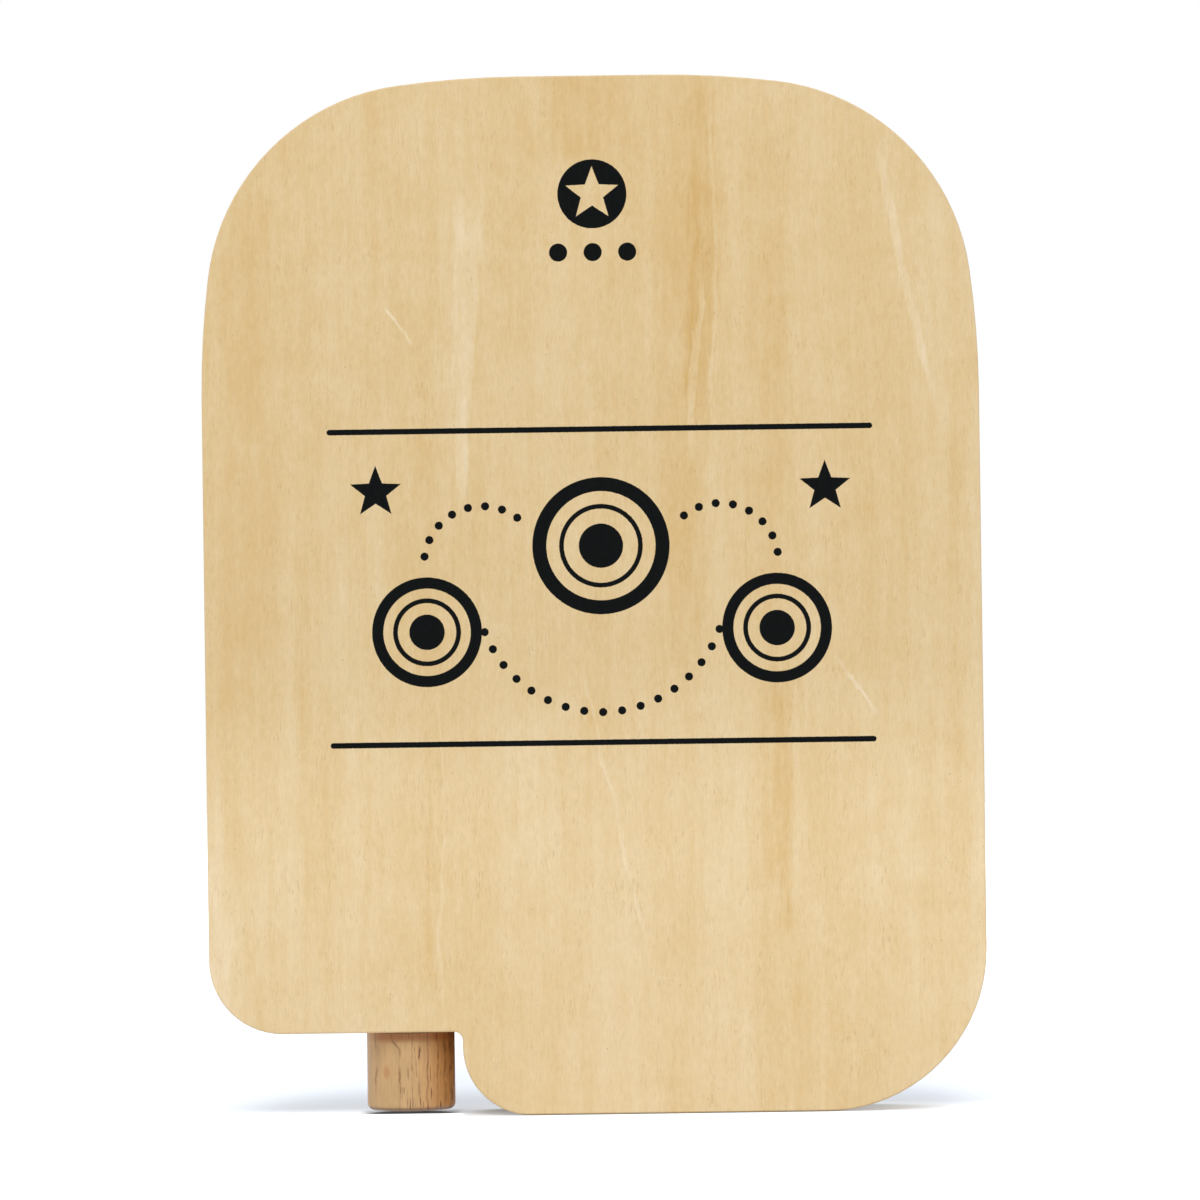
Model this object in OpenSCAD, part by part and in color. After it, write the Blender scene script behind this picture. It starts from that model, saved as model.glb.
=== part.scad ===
// Wooden tabletop pinball game, standing on its foot as it is stored.
// X runs to the right seen from behind, Y from the back panel to the clear front, Z up.
// The origin is on the surface that the game stands on, in the middle of its width and depth.

/* [Case] */
// Width of the case
case_w = 180; // [170:1:200]
// Height of the case
case_h = 240.5; // [232:0.5:270]
// Radius of the two top corners
top_r = 51; // [30:1:65]
// How far a top corner's circle stays inside the side and the top
top_ease = 1.4; // [0.6:0.1:2.4]
// Radius of the long curves that lead from the sides and the top into the top corners
shoulder_r = 220; // [150:10:300]
// Radius of the large lower corner
foot_r = 37.5; // [20:0.5:45]
// Radius of the foot beside the notch
lobe_r = 16; // [13:0.5:17]
// Radius of the corner over the notch
heel_r = 17; // [14:0.5:20]
// Width of the notch that the knob stands in
notch_w = 58.5; // [57:0.5:62]
// Height of the notch
notch_h = 19.5; // [19:0.5:24]
// Radius inside the notch
notch_r = 2; // [1:0.5:3]
// Width of the frame's rim
rim_w = 10; // [9:0.5:12]

/* [Layers] */
// Thickness of the plywood back panel
panel_t = 4; // [3.5:0.5:6]
// Thickness of the solid wood frame
frame_t = 16; // [15.5:0.5:18]
// Thickness of the playfield board inside the frame
playfield_t = 3; // [2:0.5:3]
// Thickness of the clear cover
cover_t = 2; // [1.5:0.5:3]
// Thickness of the plywood trim ring
bezel_t = 3; // [2:0.5:4]
// Play between the playfield board and the frame
board_play = 0.2; // [0.1:0.05:0.4]

/* [Ball and lane] */
// Diameter of the steel balls
ball_d = 11; // [10:0.5:11.5]
// Space between two balls in the tray
ball_space = 0.8; // [0.5:0.1:1.5]
// Width of the lane beyond the ball
lane_play = 2.4; // [1.6:0.1:3]
// Thickness of the two lane rails
rail_t = 4; // [3:0.5:5]
// Open height between the inner rail and the frame's top
lane_exit_h = 65; // [50:1:75]
// How much lower the outer rail ends
rail_step = 15; // [5:1:30]
// Height of the case's solid corner over the guide block
heel_over = 6; // [4:1:10]

/* [Plunger] */
// Distance from the case's edge to the plunger's axis
plunger_in = 46; // [44:0.5:46.5]
// Diameter of the knob
knob_d = 20.5; // [16:0.5:21]
// Radius of the knob's lower edge
knob_edge_r = 1.5; // [1:0.25:3]
// Diameter of the plunger rod
rod_d = 7; // [6:0.5:8.5]
// Depth of the rod's socket in the knob
knob_socket = 13; // [8:0.5:15]
// Travel of the plunger
stroke = 18; // [10:1:18]
// Length of the spring's space at rest
spring_room = 27.6; // [27:0.2:32]
// Diameter of the spring wire
wire_d = 1; // [0.8:0.1:1]
// Mean diameter of the spring
spring_d = 10.2; // [10:0.1:10.6]
// Open turns of the spring
spring_turns = 6; // [4:1:6]
// Open space between two rings of the closed turn at each end
end_gap = 0.5; // [0.45:0.05:0.6]
// Gap between the spring and the washer or the collar
spring_play = 0.15; // [0.1:0.05:0.2]
// Thickness of the washer under the spring
washer_t = 1; // [0.8:0.1:1.5]
// Outer diameter of the washer and the collar
collar_d = 12; // [11:0.25:12.5]
// Height of the collar on the rod
collar_h = 4; // [4:0.5:6]
// Diameter of the collar's cross pin
cross_pin_d = 2; // [1:0.25:2.5]
// Free space between the collar and the guide block
collar_space = 3; // [2:0.5:5]
// Height of the guide block
guide_h = 8; // [6:0.5:12]
// Chamfer on the rod's upper end
rod_chamfer = 0.8; // [0.4:0.1:1.5]

/* [Flippers] */
// Distance between the two flipper pivots
pivot_spread = 66; // [64:1:70]
// Height of the pivots above the tray's floor
tray_h = 44; // [42:1:50]
// Diameter of the flipper axles
axle_d = 6; // [5:0.5:7]
// Length of a flipper from pivot to tip centre
bat_l = 26; // [20:0.5:27]
// Radius of a flipper around its pivot
hub_r = 6.5; // [5.5:0.25:7]
// Radius of a flipper's tip
tip_r = 3.2; // [2:0.2:4]
// How far a flipper droops at rest
droop = 28; // [20:1:32]
// How far a flipper turns
swing = 50; // [30:1:55]
// Length of a flipper's tail
tail_l = 11; // [9.5:0.5:12]
// Radius of a flipper's tail
tail_r = 3; // [2:0.25:3.5]
// Length of a thumb lever from pivot to tip centre
lever_l = 15; // [10:0.5:16]
// Thickness of a thumb lever
lever_t = 5; // [3:0.5:7]
// Radius of a thumb lever around its pivot
lever_hub_r = 7; // [6:0.25:8]
// Radius of a thumb lever's tip
lever_tip_r = 4; // [3:0.25:5]
// Diameter of the stop pins
stop_d = 2.5; // [2:0.25:3]
// Gap between a flipper's tail and its stop pins
stop_gap = 0.15; // [0.1:0.05:0.3]
// Space between the top of the pins and the cover
pin_room = 2.5; // [1.5:0.5:4]

/* [Bumpers] */
// Diameter of the round bumpers
bumper_d = 14; // [12:0.5:16]
// Space between a bumper and the cover
bumper_room = 1; // [1:0.1:2]
// Diameter of the rubber cord in a bumper's ring
ring_cord_d = 3; // [2:0.25:3.5]
// Distance between the two upper bumpers
bumper_spread = 44; // [40:1:48]
// Depth of the upper bumpers under the frame's top
bumper_drop = 58; // [54:1:62]
// How much lower the third bumper sits
bumper_step = 27; // [25:1:30]

/* [Score cups] */
// Inner radius of the score cups
cup_r = 8.5; // [7.5:0.25:9]
// Thickness of the score cups
cup_t = 2.5; // [2:0.25:3]
// Depth of the score cups' walls, out from the board
cup_depth = 9; // [6:0.5:10]
// Distance between the two side cups
cup_spread = 68; // [66:1:72]
// Height of the side cups above the flippers' pivots
side_cup_rise = 64; // [60:1:68]
// Height of the middle cup above the flippers' pivots
middle_cup_rise = 54; // [50:1:58]

/* [Brass pins] */
// Diameter of the brass pins
pin_d = 1.8; // [1.4:0.1:2.2]
// Diameter of the pins' heads
pin_head_d = 3; // [2.6:0.1:3.6]
// Height of the pins' heads
pin_head_h = 0.8; // [0.5:0.1:0.9]
// Distance between the rows of pins that make the top lanes
top_lane_w = 18; // [16:1:20]
// Distance between the two pins of a row
row_step = 9; // [6:1:10]
// Height of the top lanes over the upper bumpers
top_lane_rise = 20; // [18:1:24]
// Distance of the guard pins beside the lower bumper
guard_out = 30; // [28:1:32]
// Distance of the pins at the walls from the walls
wall_pin_in = 7; // [5:0.5:9]
// Distance of a cup's two pins from its middle
cup_pin_out = 13; // [12:0.5:14]

/* [Slopes] */
// Thickness of the slopes that lead to the flippers
slope_t = 5; // [4:0.5:6]
// Height of a slope's upper end above the pivot
slope_rise = 38; // [34:1:42]
// Height of a slope's lower end above the pivot
slope_end_z = 12; // [11.5:0.5:13]
// Distance of a slope's lower end outside the pivot
slope_end_x = 3; // [2:0.5:4]

/* [Fasteners] */
// Diameter of the trim ring's screws
screw_d = 2.5; // [2:0.25:3]
// Diameter of the screws' heads
screw_head_d = 5; // [4:0.25:6]
// Height of the screws' heads
screw_head_h = 1.4; // [1:0.1:1.8]
// Length of the screws under the head
screw_l = 14; // [10:1:16]

/* [Clearances] */
// Play between the rod or an axle and its bore, all round
bore_play = 0.1; // [0.05:0.01:0.1]
// Gap that a moving piece keeps from its stop or seat
seat_gap = 0.3; // [0.2:0.05:0.4]
// Gap between the knob and the surface that the game stands on
knob_lift = 1; // [0.2:0.1:1.5]
// Gap between a flipper and the boards on both sides of it
flipper_gap = 0.5; // [0.3:0.1:0.8]

/* [Hidden] */
$fn = 64;
cut = 1; // how far a cutting shape runs past a face

// depths, from the back panel's rear face to the front of the levers or screws
depth = panel_t + frame_t + cover_t + max(seat_gap + lever_t, bezel_t + screw_head_h);
rear_y = -depth / 2;
panel_y = rear_y + panel_t;      // the back panel's inner face
floor_y = panel_y + playfield_t; // the face that the ball rolls on
cover_y = panel_y + frame_t;     // the cover's inner face
bezel_y = cover_y + cover_t;
lever_y = bezel_y + seat_gap;
front_y = lever_y + lever_t;
room = cover_y - floor_y;        // depth of the ball's space
axis_y = floor_y + room / 2;     // the plunger's depth

// widths
edge_x = case_w / 2;
lobe_x = -edge_x + notch_w;
ball_r = ball_d / 2;
lane_w = ball_d + lane_play;
plunger_x = -edge_x + plunger_in;
lane_out_x = plunger_x - lane_w / 2; // the lane's side towards the case's edge
lane_in_x = plunger_x + lane_w / 2;
field_left_x = lane_in_x + rail_t;   // the main field's sides
field_right_x = edge_x - rim_w;
field_x = (field_left_x + field_right_x) / 2;

// the top corners' circles, and where the long curves beside them end
top_x = edge_x - top_ease - top_r;
top_z = case_h - top_ease - top_r;
shoulder_in = shoulder_r - top_r;
shoulder_run = sqrt(top_ease * (2 * shoulder_in - top_ease));
shoulder_a = acos(1 - top_ease / shoulder_in);

// heights along the plunger
sill_z = notch_h + rim_w; // the frame's wall over the notch
spring_z = sill_z + washer_t;
collar_z = spring_z + spring_room;
guide_z = collar_z + collar_h + collar_space;
guide_top_z = guide_z + guide_h;
heel_z = guide_top_z + heel_over; // top of the solid corner beside the plunger
bore_r = rod_d / 2 + bore_play;
rod_top_z = guide_top_z + stroke + seat_gap; // the rod stays out of the guide when it is pulled
launch_z = rod_top_z + seat_gap + ball_r;
knob_top_z = notch_h - seat_gap;
rod_foot_z = knob_top_z - knob_socket;

// heights in the field
frame_top_z = case_h - rim_w;
rail_inner_z = frame_top_z - lane_exit_h;
rail_outer_z = rail_inner_z - rail_step;
pivot_z = rim_w + tray_h;
tray_z = rim_w + ball_r + seat_gap;
bumper_z = frame_top_z - bumper_drop;
bumper_low_z = bumper_z - bumper_step;
side_cup_z = pivot_z + side_cup_rise;
cup_pin_z = side_cup_z + cup_pin_out;
pin_top_y = cover_y - pin_room;

wood = "#dfc598";
beech = "#c59d70";
brass = "#c9a24a";
steel = "#b9bcc0";
red = "#c8372d";
yellow = "#e8b52c";
blue = "#2f6f9f";
rubber = "#23252a";

// A profile drawn in X and Z, as a board between two depths
module slab(y0, y1) {
    translate([0, y1, 0]) rotate([90, 0, 0]) linear_extrude(y1 - y0) children();
}

// A round bar along the depth
module bar(at, y0, y1, d) {
    translate([at.x, y0, at.y]) rotate([-90, 0, 0]) cylinder(d = d, h = y1 - y0);
}

// Two circles joined by their common tangents
module tapered_link(p, p_r, q, q_r) {
    run = q - p;
    lean = atan2(run.y, run.x);
    open = acos((p_r - q_r) / norm(run));
    up = [cos(lean + open), sin(lean + open)];
    down = [cos(lean - open), sin(lean - open)];
    translate(p) circle(r = p_r);
    translate(q) circle(r = q_r);
    polygon([p + p_r * up, p + p_r * down, q + q_r * down, q + q_r * up]);
}

// The long curve from the right side into the top corner, around the corner's middle: a slice of
// a wide disc that starts on the side and ends on the corner's circle
module long_curve(d) {
    side = top_r + top_ease - d;
    reach = side + cut;
    intersection() {
        translate([side - shoulder_r + d, -shoulder_run]) circle(r = shoulder_r - d, $fn = 360);
        polygon([[0, 0], [0, -shoulder_run], [reach, -shoulder_run], reach * [1, tan(shoulder_a)]]);
    }
}

// The right top corner around its middle, the same to both sides
module top_corner(d) {
    circle(r = top_r - d);
    long_curve(d);
    mirror([1, -1]) long_curve(d);
}

// The ends of the right top corner's three curves, from the side to the top
function top_ends(d) = [
    [edge_x - d, top_z - shoulder_run],
    [top_x, top_z] + polar(top_r - d, shoulder_a),
    [top_x, top_z] + polar(top_r - d, 90 - shoulder_a),
    [top_x - shoulder_run, case_h - d]
];

// The case seen from behind, drawn in by d on all sides
module case_outline(d = 0) {
    x = edge_x - d;
    right = top_ends(d);
    left = [for (i = [len(right) - 1:-1:0]) [-right[i].x, right[i].y]];
    corners = [
        [lobe_x + lobe_r, lobe_r, lobe_r], [edge_x - foot_r, foot_r, foot_r],
        [-edge_x + heel_r, notch_h + heel_r, heel_r]
    ];
    difference() {
        union() {
            polygon(concat(
                [[lobe_x + lobe_r, d], [edge_x - foot_r, d], [x, foot_r]], right, left,
                [
                    [-x, notch_h + heel_r], [-edge_x + heel_r, notch_h + d],
                    [lobe_x - notch_r, notch_h + d], [lobe_x + d, notch_h - notch_r],
                    [lobe_x + d, lobe_r]
                ]
            ));
            for (c = corners) translate([c[0], c[1]]) circle(r = c[2] - d);
            for (flip = [0, 1]) mirror([flip, 0]) translate([top_x, top_z]) top_corner(d);
        }
        translate([lobe_x - notch_r, notch_h - notch_r]) circle(r = notch_r + d);
    }
}

// The space inside the frame, with the solid corner beside the plunger left standing
module chamber_outline(d = 0) {
    difference() {
        case_outline(rim_w + d);
        translate([-case_w, 0]) square([case_w + lane_out_x + d, heel_z + d]);
    }
}

// The gap in the frame's wall over the notch, which the rod's block fills from rail to rail
module block_gap() {
    translate([lane_out_x - rail_t, notch_h - cut]) square([lane_w + 2 * rail_t, rim_w + cut]);
}

// Where the trim ring is screwed down, along the middle of the rim
screw_x = edge_x - rim_w / 2;
screw_z = rim_w / 2;
screw_spots = [
    [top_x, case_h - screw_z], [-top_x, case_h - screw_z],
    [screw_x, top_z], [-screw_x, top_z],
    [screw_x, case_h / 2], [-screw_x, case_h / 2],
    [screw_x, foot_r + screw_z], [-screw_x, notch_h + heel_r + screw_z],
    [edge_x - foot_r, screw_z], [lobe_x + lobe_r, screw_z]
];

// Places of the bumpers, the cups and the pins
bumper_spots = [
    [field_x + bumper_spread / 2, bumper_z], [field_x - bumper_spread / 2, bumper_z],
    [field_x, bumper_low_z]
];
cup_spots = [
    [field_x + cup_spread / 2, side_cup_z], [field_x - cup_spread / 2, side_cup_z],
    [field_x, pivot_z + middle_cup_rise]
];
wall_pin_x = (field_right_x - field_left_x) / 2 - wall_pin_in;
half_field_pins = concat(
    [for (dz = [0, row_step]) each [
        [guard_out, bumper_low_z - row_step / 2 + dz],
        [wall_pin_x, cup_pin_z + row_step + dz]
    ]],
    [for (s = [-1, 1]) [cup_spread / 2 + s * cup_pin_out, cup_pin_z]],
    [[guard_out / 2, bumper_low_z - 2 * row_step]]
);
field_spots = concat(
    [for (i = [-2:2], dz = [0, row_step])
        [field_x + i * top_lane_w, bumper_z + top_lane_rise + dz]],
    [for (s = [-1, 1], p = half_field_pins) [field_x + s * p.x, p.y]]
);

function pivot(side) = [field_x + side * pivot_spread / 2, pivot_z];
function polar(r, a) = r * [cos(a), sin(a)];

// Side 1 is the player's left, on the right seen from behind. The stop pins stand square to the
// flanks of the flipper's tail, above it at rest and below it when the flipper is raised.
function bat_angle(side) = side > 0 ? 180 + droop : -droop;
function stop_spots(side) = let (
    reach = tail_r + stop_d / 2 + stop_gap,
    flank = side * acos((hub_r - tail_r) / tail_l),
    rest = bat_angle(side) + 180,
    raised = rest - side * swing
) [
    pivot(side) + polar(tail_l, rest) + polar(reach, rest + flank),
    pivot(side) + polar(tail_l, raised) + polar(reach, raised - flank)
];
all_stop_spots = concat(stop_spots(1), stop_spots(-1));

module back_panel() {
    color(wood) difference() {
        slab(rear_y, panel_y) case_outline();
        for (side = [-1, 1]) axle_bore(side, panel_y - panel_t / 2, panel_y + cut);
    }
}

module axle_bore(side, y0, y1) {
    bar(pivot(side), y0, y1, axle_d + 2 * bore_play);
}

module frame() {
    color(wood) difference() {
        slab(panel_y, cover_y) difference() {
            case_outline();
            chamber_outline();
            block_gap();
        }
        for (p = screw_spots) bar(p, bezel_y + bezel_t - screw_l, cover_y + cut, screw_d);
    }
}

module rod_block() {
    color(beech) difference() {
        slab(panel_y, cover_y) intersection() {
            case_outline();
            block_gap();
        }
        translate([plunger_x, axis_y, notch_h - 2 * cut])
            cylinder(r = bore_r, h = rim_w + 3 * cut);
    }
}

module playfield() {
    color(blue) difference() {
        slab(panel_y, floor_y) chamber_outline(board_play);
        for (p = field_spots) bar(p, panel_y - cut, floor_y + cut, pin_d);
        for (p = bumper_spots) bar(p, panel_y - cut, floor_y + cut, pin_d);
        for (p = all_stop_spots) bar(p, panel_y - cut, floor_y + cut, stop_d);
        for (side = [-1, 1]) axle_bore(side, panel_y - cut, floor_y + cut);
    }
}

module cover() {
    color("lightcyan", 0.3) difference() {
        slab(cover_y, bezel_y) case_outline();
        for (p = screw_spots) bar(p, cover_y - cut, bezel_y + cut, screw_d);
        for (side = [-1, 1]) axle_bore(side, cover_y - cut, bezel_y + cut);
    }
}

module bezel() {
    color(wood) difference() {
        slab(bezel_y, bezel_y + bezel_t) difference() {
            case_outline();
            case_outline(rim_w);
        }
        for (p = screw_spots) bar(p, bezel_y - cut, bezel_y + bezel_t + cut, screw_d);
    }
}

// A round-headed fastener that points into the case, with its head's underside at y
module headed_pin(at, y, length, d, head_d, head_h) {
    head_r = head_d / 2;
    dome_r = (head_r * head_r + head_h * head_h) / (2 * head_h);
    translate([at.x, y, at.y]) rotate([-90, 0, 0]) {
        translate([0, 0, -length]) cylinder(d = d, h = length);
        intersection() {
            translate([0, 0, head_h - dome_r]) sphere(r = dome_r);
            cylinder(r = head_d, h = head_d);
        }
    }
}

module bezel_screws() {
    color(steel) for (p = screw_spots)
        headed_pin(p, bezel_y + bezel_t, screw_l, screw_d, screw_head_d, screw_head_h);
}

// An upright rail of the lane with a round top
module lane_rail(x, z0, z1) {
    color(beech) slab(floor_y, cover_y) {
        translate([x, z0]) square([rail_t, z1 - rail_t / 2 - z0]);
        translate([x + rail_t / 2, z1 - rail_t / 2]) circle(d = rail_t);
    }
}

module plunger_guide() {
    color(beech) difference() {
        translate([lane_out_x, floor_y, guide_z]) cube([lane_w, room, guide_h]);
        translate([plunger_x, axis_y, guide_z - cut]) cylinder(r = bore_r, h = guide_h + 2 * cut);
    }
}

module spring_washer() {
    color(steel) translate([plunger_x, axis_y, sill_z]) difference() {
        cylinder(d = collar_d, h = washer_t);
        translate([0, 0, -cut]) cylinder(r = bore_r, h = washer_t + 2 * cut);
    }
}

// The spring's centre line: a closed turn at each end, open turns between them, and both ends
// straight for one diameter of the wire
rings_per_turn = 8;
wire_sides = 6;
end_pitch = wire_d + end_gap;
line_l = spring_room - 2 * spring_play - wire_d;
open_pitch = (line_l - 2 * end_pitch) / spring_turns;
curl_rings = rings_per_turn * (spring_turns + 2);
function curl_height(turn) =
    turn < 1 ? end_pitch * turn
    : turn > spring_turns + 1 ? line_l - end_pitch * (spring_turns + 2 - turn)
    : end_pitch + open_pitch * (turn - 1);
function curl_point(i) = let (turn = i / rings_per_turn) [
    spring_d / 2 * cos(360 * turn), spring_d / 2 * sin(360 * turn), curl_height(turn)
];
spring_line = concat(
    [curl_point(0) - [0, wire_d, 0]],
    [for (i = [0:curl_rings]) curl_point(i)],
    [curl_point(curl_rings) + [0, wire_d, 0]]
);
spring_rings = len(spring_line) - 1;
function line_angle(i) = 360 * (min(max(i, 1), spring_rings - 1) - 1) / rings_per_turn;
function wire_ring(i) = let (a = line_angle(i), wide = wire_d / 2 / cos(180 / rings_per_turn)) [
    for (k = [0:wire_sides - 1]) let (b = 360 * k / wire_sides)
        spring_line[i] + [wide * cos(b) * cos(a), wide * cos(b) * sin(a), wire_d / 2 * sin(b)]
];
least_gap = min([
    for (i = [0:spring_rings], j = [i + rings_per_turn / 2:1:spring_rings])
        norm(spring_line[j] - spring_line[i]) - wire_d
]);
echo("Least gap between the spring's turns", least_gap);

module plunger_spring() {
    points = [for (i = [0:spring_rings]) each wire_ring(i)];
    last = spring_rings * wire_sides;
    sides = [
        for (i = [0:spring_rings - 1], k = [0:wire_sides - 1]) let (
            a = i * wire_sides + k,
            b = i * wire_sides + (k + 1) % wire_sides
        ) each [[a, a + wire_sides, b], [b, a + wire_sides, b + wire_sides]]
    ];
    start_cap = [for (k = [1:wire_sides - 2]) [0, k, k + 1]];
    end_cap = [for (k = [1:wire_sides - 2]) [last, last + k + 1, last + k]];
    color(steel) translate([plunger_x, axis_y, spring_z + spring_play + wire_d / 2])
        polyhedron(points = points, faces = concat(sides, start_cap, end_cap));
}

module plunger_rod() {
    color(beech) translate([plunger_x, axis_y, 0]) difference() {
        union() {
            translate([0, 0, rod_foot_z])
                cylinder(d = rod_d, h = rod_top_z - rod_chamfer - rod_foot_z);
            translate([0, 0, rod_top_z - rod_chamfer])
                cylinder(d1 = rod_d, d2 = rod_d - 2 * rod_chamfer, h = rod_chamfer);
        }
        cross_bore();
    }
}

// The hole through the collar and the rod, along the width
module cross_bore() {
    translate([-collar_d, 0, collar_z + collar_h / 2]) rotate([0, 90, 0])
        cylinder(d = cross_pin_d, h = 2 * collar_d);
}

module plunger_collar() {
    color(beech) translate([plunger_x, axis_y, 0]) difference() {
        translate([0, 0, collar_z]) cylinder(d = collar_d, h = collar_h);
        translate([0, 0, collar_z - cut]) cylinder(d = rod_d, h = collar_h + 2 * cut);
        cross_bore();
    }
}

module collar_pin() {
    pin_l = collar_d - seat_gap; // just short of the collar's sides
    color(brass) translate([plunger_x - pin_l / 2, axis_y, collar_z + collar_h / 2])
        rotate([0, 90, 0]) cylinder(d = cross_pin_d, h = pin_l);
}

// A turned knob with a rounded lower edge and a blind socket for the rod
module plunger_knob() {
    r = knob_d / 2;
    e = knob_edge_r;
    color(beech) translate([plunger_x, axis_y, 0]) rotate_extrude() difference() {
        union() {
            translate([0, knob_lift]) square([r - e, knob_top_z - knob_lift]);
            translate([0, knob_lift + e]) square([r, knob_top_z - knob_lift - e]);
            translate([r - e, knob_lift + e]) circle(r = e);
        }
        translate([-cut, rod_foot_z]) square([cut + rod_d / 2, knob_socket + cut]);
    }
}

// A flipper's bat and tail, inside the case
module flipper(side) {
    at = pivot(side);
    a = bat_angle(side);
    color(red) difference() {
        slab(floor_y + flipper_gap, cover_y - flipper_gap) {
            tapered_link(at, hub_r, at + polar(bat_l, a), tip_r);
            tapered_link(at, hub_r, at + polar(tail_l, a + 180), tail_r);
        }
        bar(at, floor_y - cut, cover_y + cut, axle_d);
    }
}

module flipper_axle(side) {
    color(beech) bar(pivot(side), panel_y - panel_t / 2 + seat_gap, front_y, axle_d);
}

// The lever on the front that turns the axle
module thumb_lever(side) {
    at = pivot(side);
    color(red) difference() {
        slab(lever_y, front_y)
            tapered_link(at, lever_hub_r, at + polar(lever_l, bat_angle(side) + 180), lever_tip_r);
        bar(at, lever_y - cut, front_y + cut, axle_d);
    }
}

module stop_pins() {
    color(steel) for (p = all_stop_spots) bar(p, panel_y, pin_top_y, stop_d);
}

// The bar that leads a ball from the side wall down to the flipper
module slope(side) {
    wall_x = side > 0 ? field_right_x : field_left_x;
    low = pivot(side) + [side * slope_end_x, slope_end_z];
    high = [wall_x, pivot_z + slope_rise];
    color(beech) slab(floor_y, cover_y) intersection() {
        tapered_link(low, slope_t / 2, high, slope_t / 2);
        translate([field_left_x, 0]) square([field_right_x - field_left_x, case_h]);
    }
}

module field_pins() {
    pin_l = pin_top_y - pin_head_h - panel_y;
    color(brass) for (p = field_spots)
        headed_pin(p, pin_top_y - pin_head_h, pin_l, pin_d, pin_head_d, pin_head_h);
}

// A turned post with a groove for its rubber ring and a bore for its nail
module bumper(at, tint) {
    r = bumper_d / 2;
    color(tint) translate([at.x, floor_y, at.y]) rotate([-90, 0, 0]) rotate_extrude() difference() {
        translate([pin_d / 2, 0]) square([r - pin_d / 2, room - bumper_room]);
        translate([r + ring_cord_d / 4, room / 2]) circle(d = ring_cord_d + seat_gap);
    }
}

module bumper_rings() {
    color(rubber) for (p = bumper_spots) translate([p.x, floor_y + room / 2, p.y])
        rotate([-90, 0, 0]) rotate_extrude()
            translate([bumper_d / 2 + ring_cord_d / 4, 0]) circle(d = ring_cord_d);
}

module bumper_nails() {
    nail_y = cover_y - bumper_room;
    color(brass) for (p = bumper_spots)
        headed_pin(p, nail_y, nail_y - panel_y, pin_d, pin_head_d, pin_head_h);
}

// A half round cup, open at the top
module score_cup(at, tint) {
    mid_r = cup_r + cup_t / 2;
    color(tint) slab(floor_y, floor_y + cup_depth) translate(at) {
        difference() {
            circle(r = cup_r + cup_t);
            circle(r = cup_r);
            translate([-case_w, 0]) square([2 * case_w, case_h]);
        }
        for (s = [-1, 1]) translate([s * mid_r, 0]) circle(d = cup_t);
    }
}

module ball(x, z) {
    color(steel) translate([x, axis_y, z]) sphere(d = ball_d);
}

// The balls in the tray lie side by side in the middle of the foot
tray_balls = 4;
tray_x = (lobe_x + lobe_r + edge_x - foot_r) / 2;
module tray_ball(i) {
    ball(tray_x + (i - (tray_balls + 1) / 2) * (ball_d + ball_space), tray_z);
}

back_panel();
frame();
rod_block();
playfield();
cover();
bezel();
bezel_screws();
lane_rail(lane_in_x, sill_z, rail_inner_z);  // lane_rail_inner
lane_rail(lane_out_x - rail_t, heel_z, rail_outer_z);  // lane_rail_outer
plunger_guide();
spring_washer();
plunger_spring();
plunger_rod();
plunger_knob();
plunger_collar();
collar_pin();
flipper(1);  // flipper_left
flipper_axle(1);  // flipper_axle_left
thumb_lever(1);  // thumb_lever_left
flipper(-1);  // flipper_right
flipper_axle(-1);  // flipper_axle_right
thumb_lever(-1);  // thumb_lever_right
stop_pins();
slope(1);  // slope_left
slope(-1);  // slope_right
field_pins();
bumper(bumper_spots[0], red);  // bumper_upper_left
bumper(bumper_spots[1], yellow);  // bumper_upper_right
bumper(bumper_spots[2], blue);  // bumper_lower
bumper_rings();
bumper_nails();
score_cup(cup_spots[0], yellow);  // score_cup_left
score_cup(cup_spots[1], yellow);  // score_cup_right
score_cup(cup_spots[2], red);  // score_cup_middle
ball(plunger_x, launch_z);  // ball_launch
tray_ball(1);  // ball_tray_1
tray_ball(2);  // ball_tray_2
tray_ball(3);  // ball_tray_3
tray_ball(4);  // ball_tray_4
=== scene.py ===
from math import cos, pi, radians, sin, sqrt

import bmesh
import bpy
from mathutils import Matrix, Vector


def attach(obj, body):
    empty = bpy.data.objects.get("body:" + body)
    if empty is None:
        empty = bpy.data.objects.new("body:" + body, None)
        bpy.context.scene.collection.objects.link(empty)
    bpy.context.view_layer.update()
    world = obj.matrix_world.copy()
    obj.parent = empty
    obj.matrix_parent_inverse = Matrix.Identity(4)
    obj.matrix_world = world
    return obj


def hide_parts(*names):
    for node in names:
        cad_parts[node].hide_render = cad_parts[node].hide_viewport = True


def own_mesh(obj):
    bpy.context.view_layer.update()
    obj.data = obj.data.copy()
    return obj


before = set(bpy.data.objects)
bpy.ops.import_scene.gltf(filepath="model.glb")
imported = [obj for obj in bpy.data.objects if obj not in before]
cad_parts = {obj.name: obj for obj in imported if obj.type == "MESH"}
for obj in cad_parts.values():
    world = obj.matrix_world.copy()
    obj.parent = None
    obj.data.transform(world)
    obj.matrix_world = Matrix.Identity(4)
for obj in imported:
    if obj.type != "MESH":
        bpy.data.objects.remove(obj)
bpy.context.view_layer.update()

MM = 0.001

# Depths of the case in millimetres, and its size
REAR_Y = -13.65
PANEL_Y = -9.65
FLOOR_Y = -6.65
COVER_Y = 6.35
BEZEL_Y = 8.35
BEZEL_T = 3
AXIS_Y = -0.15
EDGE_X = 90
CASE_H = 240.5
RIM_W = 10

# What the flippers and the bumpers keep from the cover, and how far the flippers droop
FLIPPER_GAP = 0.5
BUMPER_ROOM = 1
DROOP = 28

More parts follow.
